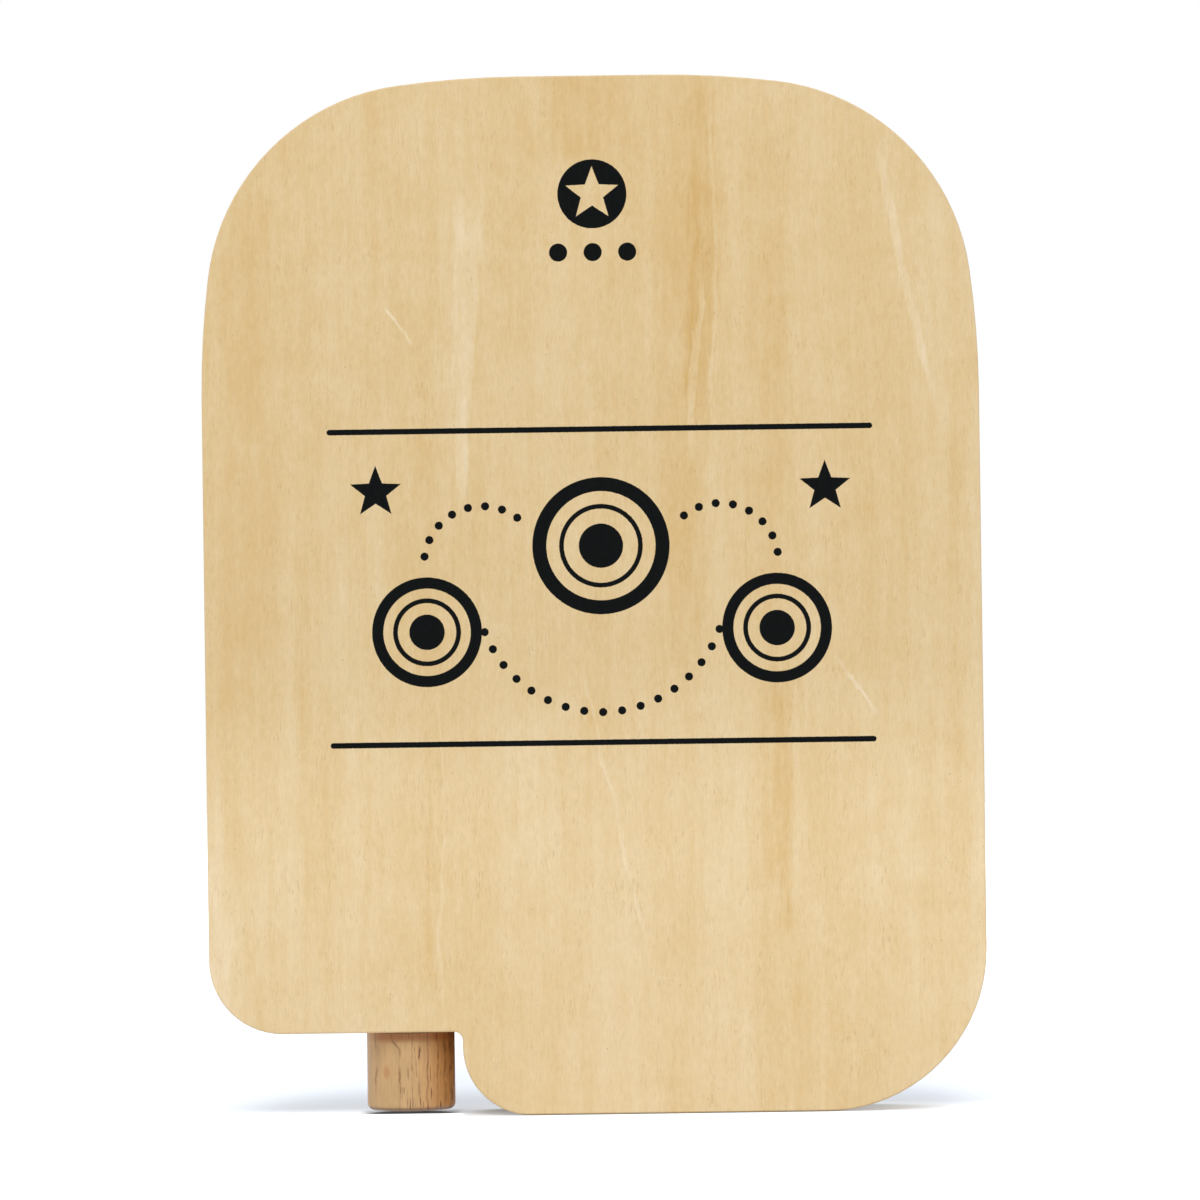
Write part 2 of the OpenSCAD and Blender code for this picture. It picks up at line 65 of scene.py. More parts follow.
# The heights of the plunger spring's ends
SPRING_LOW = 30.65
SPRING_HIGH = 57.95

# The ink's thickness, and how far its middle lies over the printed face
INK_T = 0.05
INK_OUT = 0.3 * INK_T

# Points of a mesh nearer than this become one
JOIN = 0.07
# How much thinner the clear sheet is drawn on each side
AIR_GAP = 0.02
# The cover's faces nearer than this to a bore's middle belong to the bore
BORE_ROOM = 3.6

# The floor's own light away from the case and in its shadow, and the world's light
FLOOR_LIFT = 0.4
NEAR_LIFT = 0.16
SKY_LEVEL = 0.46
# The point that the lamps face, in metres
LAMP_AIM = (0, 0, 0.12)

# The camera: its distance from the back panel, its place, its tilt in degrees, the lens's shift,
# the frame's width, its scale on the panel, and the sensor's width
DISTANCE = 1200
CAMERA_X = 1.29
CAMERA_Z = 85
PITCH = 0.5
ROLL = -0.78
SHIFT_Y = 0.0845
FRAME_PX = 1200
MM_PER_PX = 0.2313
SENSOR = 36

# Places on the playfield in millimetres, as (x, z)
PLUNGER_X = -44
FIELD_X = 23.35
PIVOTS = {"left": (FIELD_X + 33, 54), "right": (FIELD_X - 33, 54)}
BUMPERS = {
    "upper_left": (FIELD_X + 22, 172.5),
    "upper_right": (FIELD_X - 22, 172.5),
    "lower": (FIELD_X, 145.5),
}
CUPS = {"left": (FIELD_X + 34, 118), "right": (FIELD_X - 34, 118), "middle": (FIELD_X, 108)}
TOP_LANES = [FIELD_X + 18 * i for i in (-1.5, -0.5, 0.5, 1.5)]
SCREWS = [
    (37.6, 235.5), (-37.6, 235.5), (85, 188.1), (-85, 188.1), (85, 120.25), (-85, 120.25),
    (85, 42.5), (-85, 41.5), (52.5, 5), (-15.5, 5),
]
# The case's right top corner: its middle, its radius, the radius of the long curves beside it,
# the run of such a curve along the side, and its angle
TOP_CORNER = (37.6, 188.1)
TOP_R = 51
SHOULDER_R = 220
SHOULDER_RUN = 21.708
SHOULDER_A = 7.378


def linear(rgb):
    """An sRGB colour of 0 to 255 as a linear colour with alpha."""
    parts = [v / 255 for v in rgb]
    return tuple(p / 12.92 if p <= 0.04045 else ((p + 0.055) / 1.055) ** 2.4 for p in parts) + (1,)


# How much paler and brighter the veneers are painted towards the foot: painted light, as from the
# white floor
FLOOR_LIGHT_TONE = 0.07
FLOOR_LIGHT_GAIN = 0.1
# The colours of the veneers' face, then those of the plywood's edge. worn is a painted highlight on
# the rounded edge, and foot is painted shade along the bottom
VENEER = {name: linear(rgb) for name, rgb in {
    "golden": (208, 168, 104), "plain": (223, 196, 148), "pale": (238, 220, 190),
    "pore": (190, 150, 96), "speck": (140, 104, 68), "worn": (238, 212, 172), "foot": (112, 84, 60),
    "side": (224, 192, 143), "pale_side": (232, 204, 160), "ends": (186, 142, 92),
    "glue": (150, 108, 66),
}.items()}
PRINT_BLACK = (linear((2, 4, 4)), linear((7, 10, 10)))

# Turned beech: early wood, late wood and flecks. Then the knob's colours; the band along its top is
# painted shade under the panel's edge, and its ends are partly painted shade
BEECH = [linear(rgb) for rgb in ((214, 176, 132), (196, 154, 108), (128, 84, 50))]
KNOB = {name: linear(rgb) for name, rgb in {
    "left": (208, 170, 120), "right": (200, 146, 88), "top_shade": (166, 104, 54), "line": (128, 78, 42),
    "spot": (188, 124, 66), "fleck": (112, 66, 34), "ends": (84, 50, 28),
}.items()}


# Materials

class Look:
    """The nodes of one material. Places and sizes are in millimetres along the object's axes."""

    def __init__(self, name, turn=(0, 0, 0)):
        self.material = bpy.data.materials.new(name)
        self.material.use_nodes = True
        self.tree = self.material.node_tree
        self.tree.nodes.clear()
        self.coords = self.node("ShaderNodeTexCoord")
        self.place = self.vector("SCALE", self.coords.outputs["Object"], scale=1 / MM)
        if any(turn):
            turned = self.node("ShaderNodeMapping", Vector=self.place, Rotation=turn)
            self.place = turned.outputs[0]

    def feed(self, socket, value):
        """Links a socket to another, or sets its value."""
        if isinstance(value, bpy.types.NodeSocket):
            self.tree.links.new(value, socket)
        else:
            socket.default_value = value[:3] if socket.type == "VECTOR" else value

    def node(self, kind, setup=(), **inputs):
        made = self.tree.nodes.new(kind)
        for key, value in dict(setup).items():
            setattr(made, key, value)
        for key, value in inputs.items():
            self.feed(made.inputs[key.replace("_", " ")], value)
        return made

    def math(self, operation, *values, clamp=False):
        made = self.node("ShaderNodeMath", {"operation": operation, "use_clamp": clamp})
        for socket, value in zip(made.inputs, values):
            self.feed(socket, value)
        return made.outputs[0]

    def plus(self, a, b):
        return self.math("ADD", a, b)

    def minus(self, a, b):
        return self.math("SUBTRACT", a, b)

    def times(self, a, b):
        return self.math("MULTIPLY", a, b)

    def vector(self, operation, *values, scale=None):
        made = self.node("ShaderNodeVectorMath", {"operation": operation})
        for socket, value in zip(made.inputs, values):
            self.feed(socket, value)
        if scale is not None:
            self.feed(made.inputs["Scale"], scale)
        single = operation in ("LENGTH", "DISTANCE", "DOT_PRODUCT")
        return made.outputs["Value" if single else "Vector"]

    def split(self, vector):
        return self.node("ShaderNodeSeparateXYZ", Vector=vector).outputs[:]

    def join(self, x, y, z):
        return self.node("ShaderNodeCombineXYZ", X=x, Y=y, Z=z).outputs[0]

    def normal(self):
        """The size of the surface's direction along x, y and z."""
        return self.split(self.vector("ABSOLUTE", self.coords.outputs["Normal"]))

    def noise(self, size, detail=2, rough=0.5, seed=0, warp=0, place=None):
        """Noise from 0 to 1 whose blotches have this size along x, y and z."""
        moved = self.vector("ADD", place or self.place, (17.3 * seed, 9.1 * seed, 31.7 * seed))
        scaled = self.vector("DIVIDE", moved, size)
        made = self.node(
            "ShaderNodeTexNoise", Vector=scaled, Scale=1, Detail=detail, Roughness=rough,
            Distortion=warp,
        )
        return made.outputs[0]

    def fade(self, value, low, high, start=0, end=1):
        """value's run from low to high, as a soft step from start to end."""
        made = self.node("ShaderNodeMapRange", {"interpolation_type": "SMOOTHSTEP"}, Value=value)
        keys = ("From Min", "From Max", "To Min", "To Max")
        for key, number in zip(keys, (low, high, start, end)):
            self.feed(made.inputs[key], number)
        return made.outputs[0]

    def swing(self, noise, size):
        """Noise of 0 to 1 as a push of up to half of size to either side."""
        return self.times(self.minus(noise, 0.5), size)

    def map_three(self, values, lows, highs, starts, ends, kind="LINEAR"):
        """Each of three values: its run from low to high, as a run from start to end."""
        setup = {"data_type": "FLOAT_VECTOR", "interpolation_type": kind}
        made = self.node("ShaderNodeMapRange", setup, Vector=values)
        for socket, numbers in zip(made.inputs[7:11], (lows, highs, starts, ends)):
            self.feed(socket, tuple(numbers))
        return made.outputs["Vector"]

    def mix(self, share, a, b):
        """The colour a with this share of b."""
        made = self.node("ShaderNodeMix", {"data_type": "RGBA"})
        self.feed(made.inputs[0], share)
        self.feed(made.inputs[6], a)
        self.feed(made.inputs[7], b)
        return made.outputs[2]

    def shade(self, colour, value, depth):
        """colour made darker or lighter by up to depth, as value runs from 0.3 to 0.7."""
        return self.vector("SCALE", colour, scale=self.fade(value, 0.3, 0.7, 1 - depth, 1 + depth))

    def surface(self, colour, roughness, bump, depth=0.02, **constants):
        """Ends the material in a Principled shader. bump is a height of 0 to 1, depth its size."""
        shader = self.node("ShaderNodeBsdfPrincipled")
        self.feed(shader.inputs["Base Color"], colour)
        self.feed(shader.inputs["Roughness"], roughness)
        for key, value in constants.items():
            shader.inputs[key.replace("_", " ")].default_value = value
        bumped = self.node("ShaderNodeBump", Height=bump, Distance=depth * MM, Strength=1.0)
        self.feed(shader.inputs["Normal"], bumped.outputs[0])
        return self.end(shader)

    def end(self, shader):
        out = self.node("ShaderNodeOutputMaterial")
        self.tree.links.new(shader.outputs[0], out.inputs["Surface"])
        return self.material


class Print:
    """Flat shapes on the rear face. Each gives a distance from its edge, below 0 inside."""

    # How far the grain makes the edges waver, and the half width of their soft rim
    waver = 0.16
    rim = 0.06

    def __init__(self, look):
        self.look = look
        wobble = look.vector("SUBTRACT", look.noise((0.5, 9, 0.5), seed=41), (0.5, 0.5, 0.5))
        wavy = look.vector("ADD", look.place, look.vector("SCALE", wobble, scale=self.waver))
        x, _, z = look.split(wavy)
        self.at = look.join(x, 0, z)
        self.least = None

    def add(self, distance):
        self.least = distance if self.least is None else self.look.math(
            "MINIMUM", self.least, distance)

    def away(self, centre):
        return self.look.vector("DISTANCE", self.at, (centre[0], 0, centre[1]))

    def disc(self, centre, radius):
        return self.look.minus(self.away(centre), radius)

    def ring(self, centre, radius, width):
        off = self.look.math("ABSOLUTE", self.disc(centre, radius))
        return self.look.minus(off, width / 2)

    def rule(self, start, end, width):
        """A straight line with round ends."""
        look = self.look
        run = Vector((end[0] - start[0], 0, end[1] - start[1]))
        off = look.vector("SUBTRACT", self.at, (start[0], 0, start[1]))
        along = look.vector("DOT_PRODUCT", off, tuple(run))
        share = look.math("DIVIDE", along, run.length_squared, clamp=True)
        nearest = look.vector("SCALE", tuple(run), scale=share)
        return look.minus(look.vector("DISTANCE", off, nearest), width / 2)

    def dots(self, centre, radius, middle, count, step, dot_r):
        """Dots on an arc, step apart. middle is the direction of the row's middle in degrees."""
        look = self.look
        a = radians(middle)
        off = look.vector("SUBTRACT", self.at, (centre[0], 0, centre[1]))
        along = look.vector("DOT_PRODUCT", off, (cos(a), 0, sin(a)))
        across = look.vector("DOT_PRODUCT", off, (-sin(a), 0, cos(a)))
        arc = look.times(look.math("ARCTAN2", across, along), radius / step)
        half = (count - 1) / 2
        shift = half % 1
        snapped = look.plus(look.math("ROUND", look.minus(arc, shift)), shift)
        kept = look.math("MAXIMUM", look.math("MINIMUM", snapped, half), -half)
        aside = look.times(look.minus(arc, kept), step)
        out = look.minus(look.vector("LENGTH", off), radius)
        return look.minus(look.vector("LENGTH", look.join(aside, out, 0)), dot_r)

    def star(self, centre, tip_r, notch_r):
        """A star with five points, one of them up."""
        look = self.look
        x, _, z = look.split(look.vector("SUBTRACT", self.at, (centre[0], 0, centre[1])))
        angle = look.math("ARCTAN2", x, z)
        fold = look.math("PINGPONG", look.plus(angle, 2 * pi), pi / 5)
        size = self.away(centre)
        along = look.times(size, look.math("COSINE", fold))
        aside = look.times(size, look.math("SINE", fold))
        side = Vector((notch_r * sin(pi / 5), tip_r - notch_r * cos(pi / 5))).normalized()
        first = look.times(look.minus(along, tip_r), side.x)
        return look.plus(first, look.times(aside, side.y))

    def share(self):
        return self.look.fade(self.least, self.rim, -self.rim)


def rear_print(look):
    """The share of ink on the rear face: rules, three targets, dotted arcs, stars and balls."""
    p = Print(look)
    middle, rule_w, dot_r = 2, 1.3, 0.95
    for z in (86, 158.5):
        p.add(p.rule((-60.5, z), (64.5, z), rule_w))
    for x, z, scale in ((middle, 131.5, 1.25), (-38.5, 112, 1), (42.5, 112, 1)):
        p.add(p.ring((x, z), 11.4 * scale, 2.6 * scale))
        p.add(p.ring((x, z), 7.3 * scale, 1.1))
        p.add(p.disc((x, z), 4.1 * scale))
    p.add(p.dots((middle, 122), 29, -90, 17, 4.4, dot_r))
    for side in (-1, 1):
        p.add(p.dots((middle + side * 27.5, 127.5), 13.5, 90 - side * 22, 8, 4, dot_r))
        p.add(p.star((middle + side * 52, 144.5), 6.2, 2.6))

    # A disc with a star left bare, over three balls
    x, z = 1, 213
    bare = look.times(p.star((x, z), 6.4, 2.7), -1)
    p.add(look.math("MAXIMUM", p.disc((x, z), 8), bare))
    for i in (-1, 0, 1):
        p.add(p.disc((x + 8 * i, z - 13.5), 2.1))
    return p.share()


# Upright marks in the rear veneer, in threes: x and z of the lower end, x and z of the upper end,
# half the width at each, how golden the mark is, and how far out its full tone reaches. Pale marks
# have a tone below 0.
MARKS = [
    (-79, 100, -79, 218, 10, 9, 0.06, 0.2), (-42, 96, -42, 216, 9, 9, 0.05, 0.2),
    (20, 100, 21, 226, 8, 8, 0.07, 0.2), (41, 118, 41, 226, 10, 10, 0.06, 0.2),
    (-60, 28, -60, 96, 9, 9, 0.06, 0.2), (42, 0, 43, 96, 8, 8, 0.05, 0.2),
    (-16, 54, -16, 96, 10, 10, -0.06, 0.2), (66, 50, 66, 100, 12, 12, -0.05, 0.2),
    (91, 0, 91, 160, 9, 7, -0.09, 0.2), (-90, 20, -90, 70, 9, 6, -0.13, 0.2),
    (25.5, 162, 27, 240, 4, 4.5, 0.15, 0.4), (44.4, 42, 44.4, 98, 3, 3, 0.09, 0.4),
    (15.5, 34, 15.5, 72, 6, 6, 0.05, 0.2), (-38, 26, -37.5, 88, 2.5, 2.5, 0.08, 0.3),
    (-3, 221, -2, 243, 13, 14, 0.09, 0.2), (-31, 144, -27.6, 211, 1.1, 3.6, -0.13, 0.8),
    (78, 167, 68.7, 222, 1.1, 1.2, -0.13, 0.6), (23.6, 154, 26, 192, 0.9, 0.8, -0.17, 0.7),
    (-41, 179, -47, 187, 0.5, 0.5, -0.2, 0.5), (28.8, 166, 28.8, 238, 0.5, 0.4, -0.13, 0.6),
    (9.7, 40, 2.8, 77, 0.5, 0.5, -0.11, 0.5), (2.8, 76, -1.9, 102, 0.5, 0.4, -0.11, 0.5),
    (66, 92, 57, 105, 0.6, 0.5, -0.15, 0.6), (-35.4, 26, -35.4, 95, 0.5, 0.4, -0.1, 0.5),
]


def rear_marks(look):
    """How golden the rear veneer is at its marks, three of them worked out at a time."""
    sway = look.swing(look.noise((40, 40, 42), seed=51), 7)
    ragged = look.swing(look.noise((1.2, 40, 9), seed=52), 2.2)
    x, _, z = look.split(look.place)
    x = look.plus(look.plus(x, sway), ragged)
    across, along = look.join(x, x, x), look.join(z, z, z)
    total = 0
    for i in range(0, len(MARKS), 3):
        low_x, low_z, high_x, high_z, low_w, high_w, gold, full = zip(*MARKS[i:i + 3])
        soft = [0.12 * (high - low) for low, high in zip(low_z, high_z)]
        middle = look.map_three(along, low_z, high_z, low_x, high_x)
        half = look.map_three(along, low_z, high_z, low_w, high_w)
        off = look.vector("ABSOLUTE", look.vector("SUBTRACT", across, middle))
        share = look.map_three(
            look.vector("DIVIDE", off, half), (1.1,) * 3, full, (0,) * 3, (1,) * 3, "SMOOTHSTEP")
        for ends, sign in ((low_z, 1), (high_z, -1)):
            outer = [z - sign * s for z, s in zip(ends, soft)]
            inner = [z + sign * s for z, s in zip(ends, soft)]
            inside = look.map_three(along, outer, inner, (0,) * 3, (1,) * 3, "SMOOTHSTEP")
            share = look.vector("MULTIPLY", share, inside)
        total = look.plus(total, look.vector("DOT_PRODUCT", share, gold))
    patchy = look.fade(look.noise((2.6, 40, 13), detail=3, rough=0.6, seed=53), 0.3, 0.7, 0.5, 1.5)
    return look.times(total, patchy)


def veneer_colour(look, seed, marks=None):
    """The sliced face of a pale hardwood with upright grain, and its height for the bump."""
    z = look.split(look.place)[2]
    # Painted light: the veneer turns paler towards the foot, as if lit from the white floor
    low = look.fade(z, 122, 50)
    tone = look.times(low, FLOOR_LIGHT_TONE)
    layers = (
        ((15, 40, 190), 2, 0.5, 0.26), ((4.2, 40, 62), 2, 0.6, 0.2), ((1.4, 40, 17), 2, 0.6, 0.17),
        ((7, 40, 8), 3, 0.65, 0.22), ((1.5, 40, 2.2), 2, 0.6, 0.16),
    )
    for i, (size, detail, rough, share) in enumerate(layers):
        noise = look.noise(size, detail=detail, rough=rough, seed=seed + i)
        tone = look.plus(tone, look.swing(noise, share))
    if marks is not None:
        tone = look.minus(tone, marks)
    colour = look.mix(look.fade(tone, -0.5, 0.1), VENEER["golden"], VENEER["plain"])
    colour = look.mix(look.fade(tone, -0.1, 0.5), colour, VENEER["pale"])
    # Painted light: brighter towards the foot
    colour = look.vector("SCALE", colour, scale=look.fade(low, 0, 1, 1, 1 + FLOOR_LIGHT_GAIN))
    fibres = look.noise((0.45, 40, 2.6), detail=3, rough=0.7, seed=seed + 5)
    colour = look.shade(colour, fibres, 0.034)
    pores = look.fade(look.noise((0.32, 40, 2), detail=1.5, seed=seed + 7, warp=0.4), 0.59, 0.71)
    dense = look.fade(look.noise((6, 40, 9), seed=seed + 8), 0.4, 0.7, 0.06, 0.3)
    colour = look.mix(look.times(pores, dense), colour, VENEER["pore"])
    specks = look.fade(look.noise((0.5, 40, 0.6), detail=0, seed=seed + 10), 0.82, 0.85)
    colour = look.mix(look.times(specks, 0.4), colour, VENEER["speck"])
    height = look.minus(fibres, look.times(pores, 0.6))
    return colour, height


def plywood(name, low, plies, thickness, seed, printed=False):
    """Plywood of an odd number of plies along the depth, with its faces and its layered edge."""
    look = Look(name)
    _, y, z = look.split(look.place)
    across_x, across_y, across_z = look.normal()
    colour, height = veneer_colour(look, seed, rear_marks(look) if printed else None)
    ply_t = thickness / plies
    layer = look.math("DIVIDE", look.minus(y, low), ply_t)
    layer = look.math("MAXIMUM", look.math("MINIMUM", layer, plies - 0.001), 0.001)
    ply = look.math("FLOOR", layer)
    crossed = look.math("MODULO", ply, 2)
    edge = look.fade(across_y, 0.35, 0.15)

    # The edge shows long fibres or their ends, by the ply's direction
    shifted = look.vector("ADD", look.place, look.join(look.times(ply, 7.7), 0, 0))
    along = look.noise((0.35, 0.25, 9), detail=3, rough=0.7, seed=seed + 20, place=shifted)
    over = look.noise((9, 0.25, 0.35), detail=3, rough=0.7, seed=seed + 21, place=shifted)
    fibre = look.mix(crossed, along, over)
    side = look.mix(look.noise((30, 3, 30), seed=seed + 22), VENEER["side"], VENEER["pale_side"])
    side = look.shade(side, fibre, 0.1)
    ends = look.plus(look.times(look.minus(1, crossed), across_z), look.times(crossed, across_x))
    side = look.mix(look.times(ends, 0.42), side, VENEER["ends"])
    place_in_ply = look.math("FRACT", layer)
    glue = look.fade(look.math("ABSOLUTE", look.minus(place_in_ply, 0.5)), 0.44, 0.49)
    first, last = look.fade(layer, 0.3, 0.6), look.fade(layer, plies - 0.3, plies - 0.6)
    inner = look.times(first, last)
    glue = look.times(look.times(glue, inner), 0.5)
    side = look.mix(glue, side, VENEER["glue"])
    colour = look.mix(edge, colour, side)

    # The rounded edge is painted paler as a highlight, and the foot is painted dark as shade where
    # it meets the floor
    arris_highlight = look.times(look.fade(across_y, 0.2, 0.6), look.fade(across_y, 0.995, 0.85))
    colour = look.mix(look.times(arris_highlight, 0.4), colour, VENEER["worn"])
    # Painted shade: the lowest half millimetre is darkened as the contact shade along the floor
    colour = look.mix(look.fade(z, 0.55, 0.05, 0, 0.65), colour, VENEER["foot"])
    rough = look.fade(height, 0.2, 0.8, 0.6, 0.5)
    if printed:
        ink = look.times(rear_print(look), look.fade(y, REAR_Y + 0.6, REAR_Y + 0.3))
        grain = look.fade(look.noise((0.3, 40, 1.6), seed=seed + 30), 0.3, 0.72)
        black = look.mix(grain, *PRINT_BLACK)
        colour = look.mix(ink, colour, black)
        rough = look.fade(ink, 0, 1, rough, 0.42)
    return look.surface(colour, rough, height, 0.018, Specular_IOR_Level=0.06)


def turned(name, seed, turn=(0, 0, 0)):
    """Beech with growth rings round a line beside the piece, fibres along z, and dark flecks."""
    look = Look(name, turn)
    x, y, z = look.split(look.place)
    pith_x, pith_y, tilt, ring_w = 14, -9, 0.03, 2.1
    lean = look.times(z, tilt)
    waver = look.times(look.noise((9, 9, 60), seed=seed), 5)
    off_x = look.plus(look.minus(x, pith_x), lean)
    off = look.join(off_x, look.minus(y, pith_y), 0)
    rings = look.plus(look.math("DIVIDE", look.vector("LENGTH", off), ring_w), waver)
    ring = look.math("FRACT", rings)
    late = look.times(look.fade(ring, 0.45, 0.93), look.fade(ring, 1.0, 0.93))
    early_wood, late_wood, dark = BEECH
    colour = look.mix(late, early_wood, late_wood)
    colour = look.shade(colour, look.noise((5, 5, 40), detail=3, seed=seed + 1), 0.06)
    fibre = look.noise((0.35, 0.35, 7), detail=3, rough=0.7, seed=seed + 2)
    colour = look.shade(colour, fibre, 0.09)
    spots = look.noise((0.5, 0.5, 2.8), detail=1.5, seed=seed + 3)
    many = look.fade(look.noise((6, 6, 14), seed=seed + 4), 0.35, 0.6, 0.35, 1)
    fleck = look.times(look.fade(spots, 0.62, 0.72), look.times(many, 0.5))
    colour = look.mix(fleck, colour, dark)
    if not any(turn):
        ends = look.fade(look.normal()[2], 0.55, 0.95)
        colour = look.mix(look.times(ends, 0.3), colour, dark)
    height = look.minus(fibre, look.times(fleck, 0.5))
    rough = look.fade(fibre, 0.3, 0.7, 0.42, 0.55)
    return look.surface(colour, rough, height, 0.02, Specular_IOR_Level=0.4)


def knob_wood(name, seed):
    """Turned beech: smooth and pale on the left between two dark lines, flecked on the right."""
    look = Look(name)
    x, _, z = look.split(look.place)
    waver = look.swing(look.noise((5, 5, 4), detail=2, seed=seed), 1.2)
    aside = look.plus(look.minus(x, PLUNGER_X), waver)
    colour = look.mix(look.fade(aside, -1, 9), KNOB["left"], KNOB["right"])
    colour = look.shade(colour, look.noise((3, 3, 14), detail=3, seed=seed + 1), 0.08)
    fibre = look.noise((0.4, 0.4, 5), detail=3, rough=0.7, seed=seed + 2)
    colour = look.shade(colour, fibre, 0.07)

    # A darker orange-brown band along the top, painted shade under the panel's edge, and growth
    # lines in threes: place, half width, share
    top_shade = look.times(look.fade(z, 16.4, 18.2), look.fade(aside, -9.5, -6, 0.3, 0.85))
    colour = look.mix(top_shade, colour, KNOB["top_shade"])
    bent = look.plus(look.fade(z, 15, 18.2, 0, -1.8), -2.3)
    lines = (
        (bent, 0.5, 0.8), (-7.9, 0.35, 0.6), (0.6, 0.3, 0.4),
        (2.4, 0.3, 0.55), (4.1, 0.35, 0.55), (6.4, 0.3, 0.65), (8.1, 0.4, 0.7), (9.3, 0.5, 0.7),
    )
    broken = look.fade(look.noise((1.5, 40, 3.4), detail=2, seed=seed + 3), 0.36, 0.62, 0.2, 1)
    for at, width, share in lines:
        off = look.math("ABSOLUTE", look.minus(aside, at))
        line = look.times(look.fade(off, width, 0), look.times(broken, share))
        colour = look.mix(line, colour, KNOB["line"])

    # One warm spot, and short dark flecks, nearly all of them on the right
    spot_x, spot_z = look.plus(x, 5.4 - PLUNGER_X), look.plus(z, -10.1)
    spot = look.vector("LENGTH", look.join(spot_x, look.times(spot_z, 0.6), 0))
    colour = look.mix(look.fade(spot, 1.2, 0.4, 0, 0.5), colour, KNOB["spot"])
    spots = look.noise((0.3, 40, 4.5), detail=1, seed=seed + 5)
    many = look.fade(aside, -3.5, 1, 0.1, 0.95)
    fleck = look.times(look.fade(spots, 0.62, 0.7), many)
    colour = look.mix(fleck, colour, KNOB["fleck"])
    # The ends are darker: end grain, and painted shade at the rounded bottom edge and at the top
    ends = look.fade(look.normal()[2], 0.25, 0.75)
    colour = look.mix(look.times(ends, 0.75), colour, KNOB["ends"])
    height = look.minus(fibre, look.times(fleck, 0.5))
    return look.surface(colour, look.fade(fibre, 0.3, 0.7, 0.42, 0.55), height, 0.02,
                        Specular_IOR_Level=0.5)


def paint(name, rgb, seed, rough=0.36, worn=0.5):
    """Satin paint on wood: slight brush marks, a grain that shows through, and fine scuffs."""
    look = Look(name)
    colour = look.shade(linear(rgb), look.noise((9, 9, 9), detail=3, seed=seed), 0.06)
    colour = look.shade(colour, look.noise((0.5, 0.5, 7), detail=3, seed=seed + 1), 0.05)
    scuff = look.noise((1.6, 1.6, 0.35), detail=4, rough=0.75, seed=seed + 2)
    scuffed = look.times(look.fade(scuff, 0.66, 0.74), worn)
    bare = look.mix(0.5, linear(rgb), linear((226, 205, 172)))
    colour = look.mix(scuffed, colour, bare)
    skin = look.noise((0.8, 0.8, 1.6), detail=2, seed=seed + 3)
    haze = look.noise((4, 4, 4), detail=3, seed=seed + 4)
    gloss = look.fade(haze, 0.3, 0.7, rough - 0.07, rough + 0.1)
    return look.surface(colour, gloss, skin, 0.012, Coat_Weight=0.15, Coat_Roughness=0.2)


def metal(name, rgb, rough, seed, grain=(3, 3, 0.12), stain=0.1):
    """Bare metal with fine scratches and a patchy tint."""
    look = Look(name)
    patch = look.noise((2.5, 2.5, 2.5), detail=4, rough=0.6, seed=seed)
    colour = look.shade(linear(rgb), patch, stain)
    scratch = look.noise(grain, detail=3, rough=0.7, seed=seed + 1)
    gloss = look.fade(scratch, 0.3, 0.7, rough * 0.75, rough * 1.35)
    return look.surface(colour, gloss, scratch, 0.002, Metallic=1.0)


def board_paint(name):
    """The playfield's face: deep blue with a slow change of tone, fine grain and dust."""
    look = Look(name)
    risen = look.fade(look.split(look.place)[2], 20, 225)
    colour = look.mix(risen, linear((16, 56, 98)), linear((20, 88, 132)))
    colour = look.shade(colour, look.noise((30, 30, 30), detail=3, seed=61), 0.1)
    colour = look.shade(colour, look.noise((0.5, 30, 12), detail=3, seed=62), 0.07)
    worn = look.noise((5, 30, 16), detail=5, rough=0.7, seed=63)
    colour = look.mix(look.fade(worn, 0.66, 0.8, 0, 0.25), colour, linear((128, 158, 170)))
    across_y = look.normal()[1]
    wood = look.shade(linear((206, 170, 122)), look.noise((9, 0.3, 0.6), detail=3, seed=64), 0.12)
    colour = look.mix(look.fade(across_y, 0.8, 0.5), colour, wood)
    rough = look.fade(worn, 0.4, 0.75, 0.32, 0.5)
    return look.surface(colour, rough, look.noise((0.4, 30, 9), seed=65), 0.01,
                        Specular_IOR_Level=0.2)


def soft_black(name):
    """Black rubber with a dusty bloom."""
    look = Look(name)
    bloom = look.noise((2, 2, 2), detail=5, rough=0.7, seed=71)
    colour = look.mix(look.fade(bloom, 0.4, 0.75), linear((26, 27, 30)), linear((52, 53, 56)))
    grit = look.noise((0.3, 0.3, 0.3), detail=2, seed=72)
    return look.surface(colour, look.fade(bloom, 0.3, 0.7, 0.55, 0.75), grit, 0.02)


def clear_sheet(name):
    """Clear acrylic with faint smears. Lamps shine through it."""
    look = Look(name)
    smear = look.noise((18, 18, 40), detail=5, rough=0.65, seed=81, warp=0.6)
    tint = look.mix(look.fade(smear, 0.3, 0.7), linear((246, 250, 250)), linear((252, 254, 254)))
    glass = look.node("ShaderNodeBsdfPrincipled", Base_Color=tint, IOR=1.22)
    glass.inputs["Transmission Weight"].default_value = 1
    look.feed(glass.inputs["Roughness"], look.fade(smear, 0.55, 0.8, 0.0, 0.05))
    clear = look.node("ShaderNodeBsdfTransparent", Color=(0.97, 0.98, 0.98, 1))
    path = look.node("ShaderNodeLightPath")
    shown = glass
    for key in ("Is Shadow Ray", "Is Diffuse Ray"):
        mixed = look.node("ShaderNodeMixShader")
        look.feed(mixed.inputs[0], path.outputs[key])
        look.feed(mixed.inputs[1], shown.outputs[0])
        look.feed(mixed.inputs[2], clear.outputs[0])
        shown = mixed
    return look.end(shown)


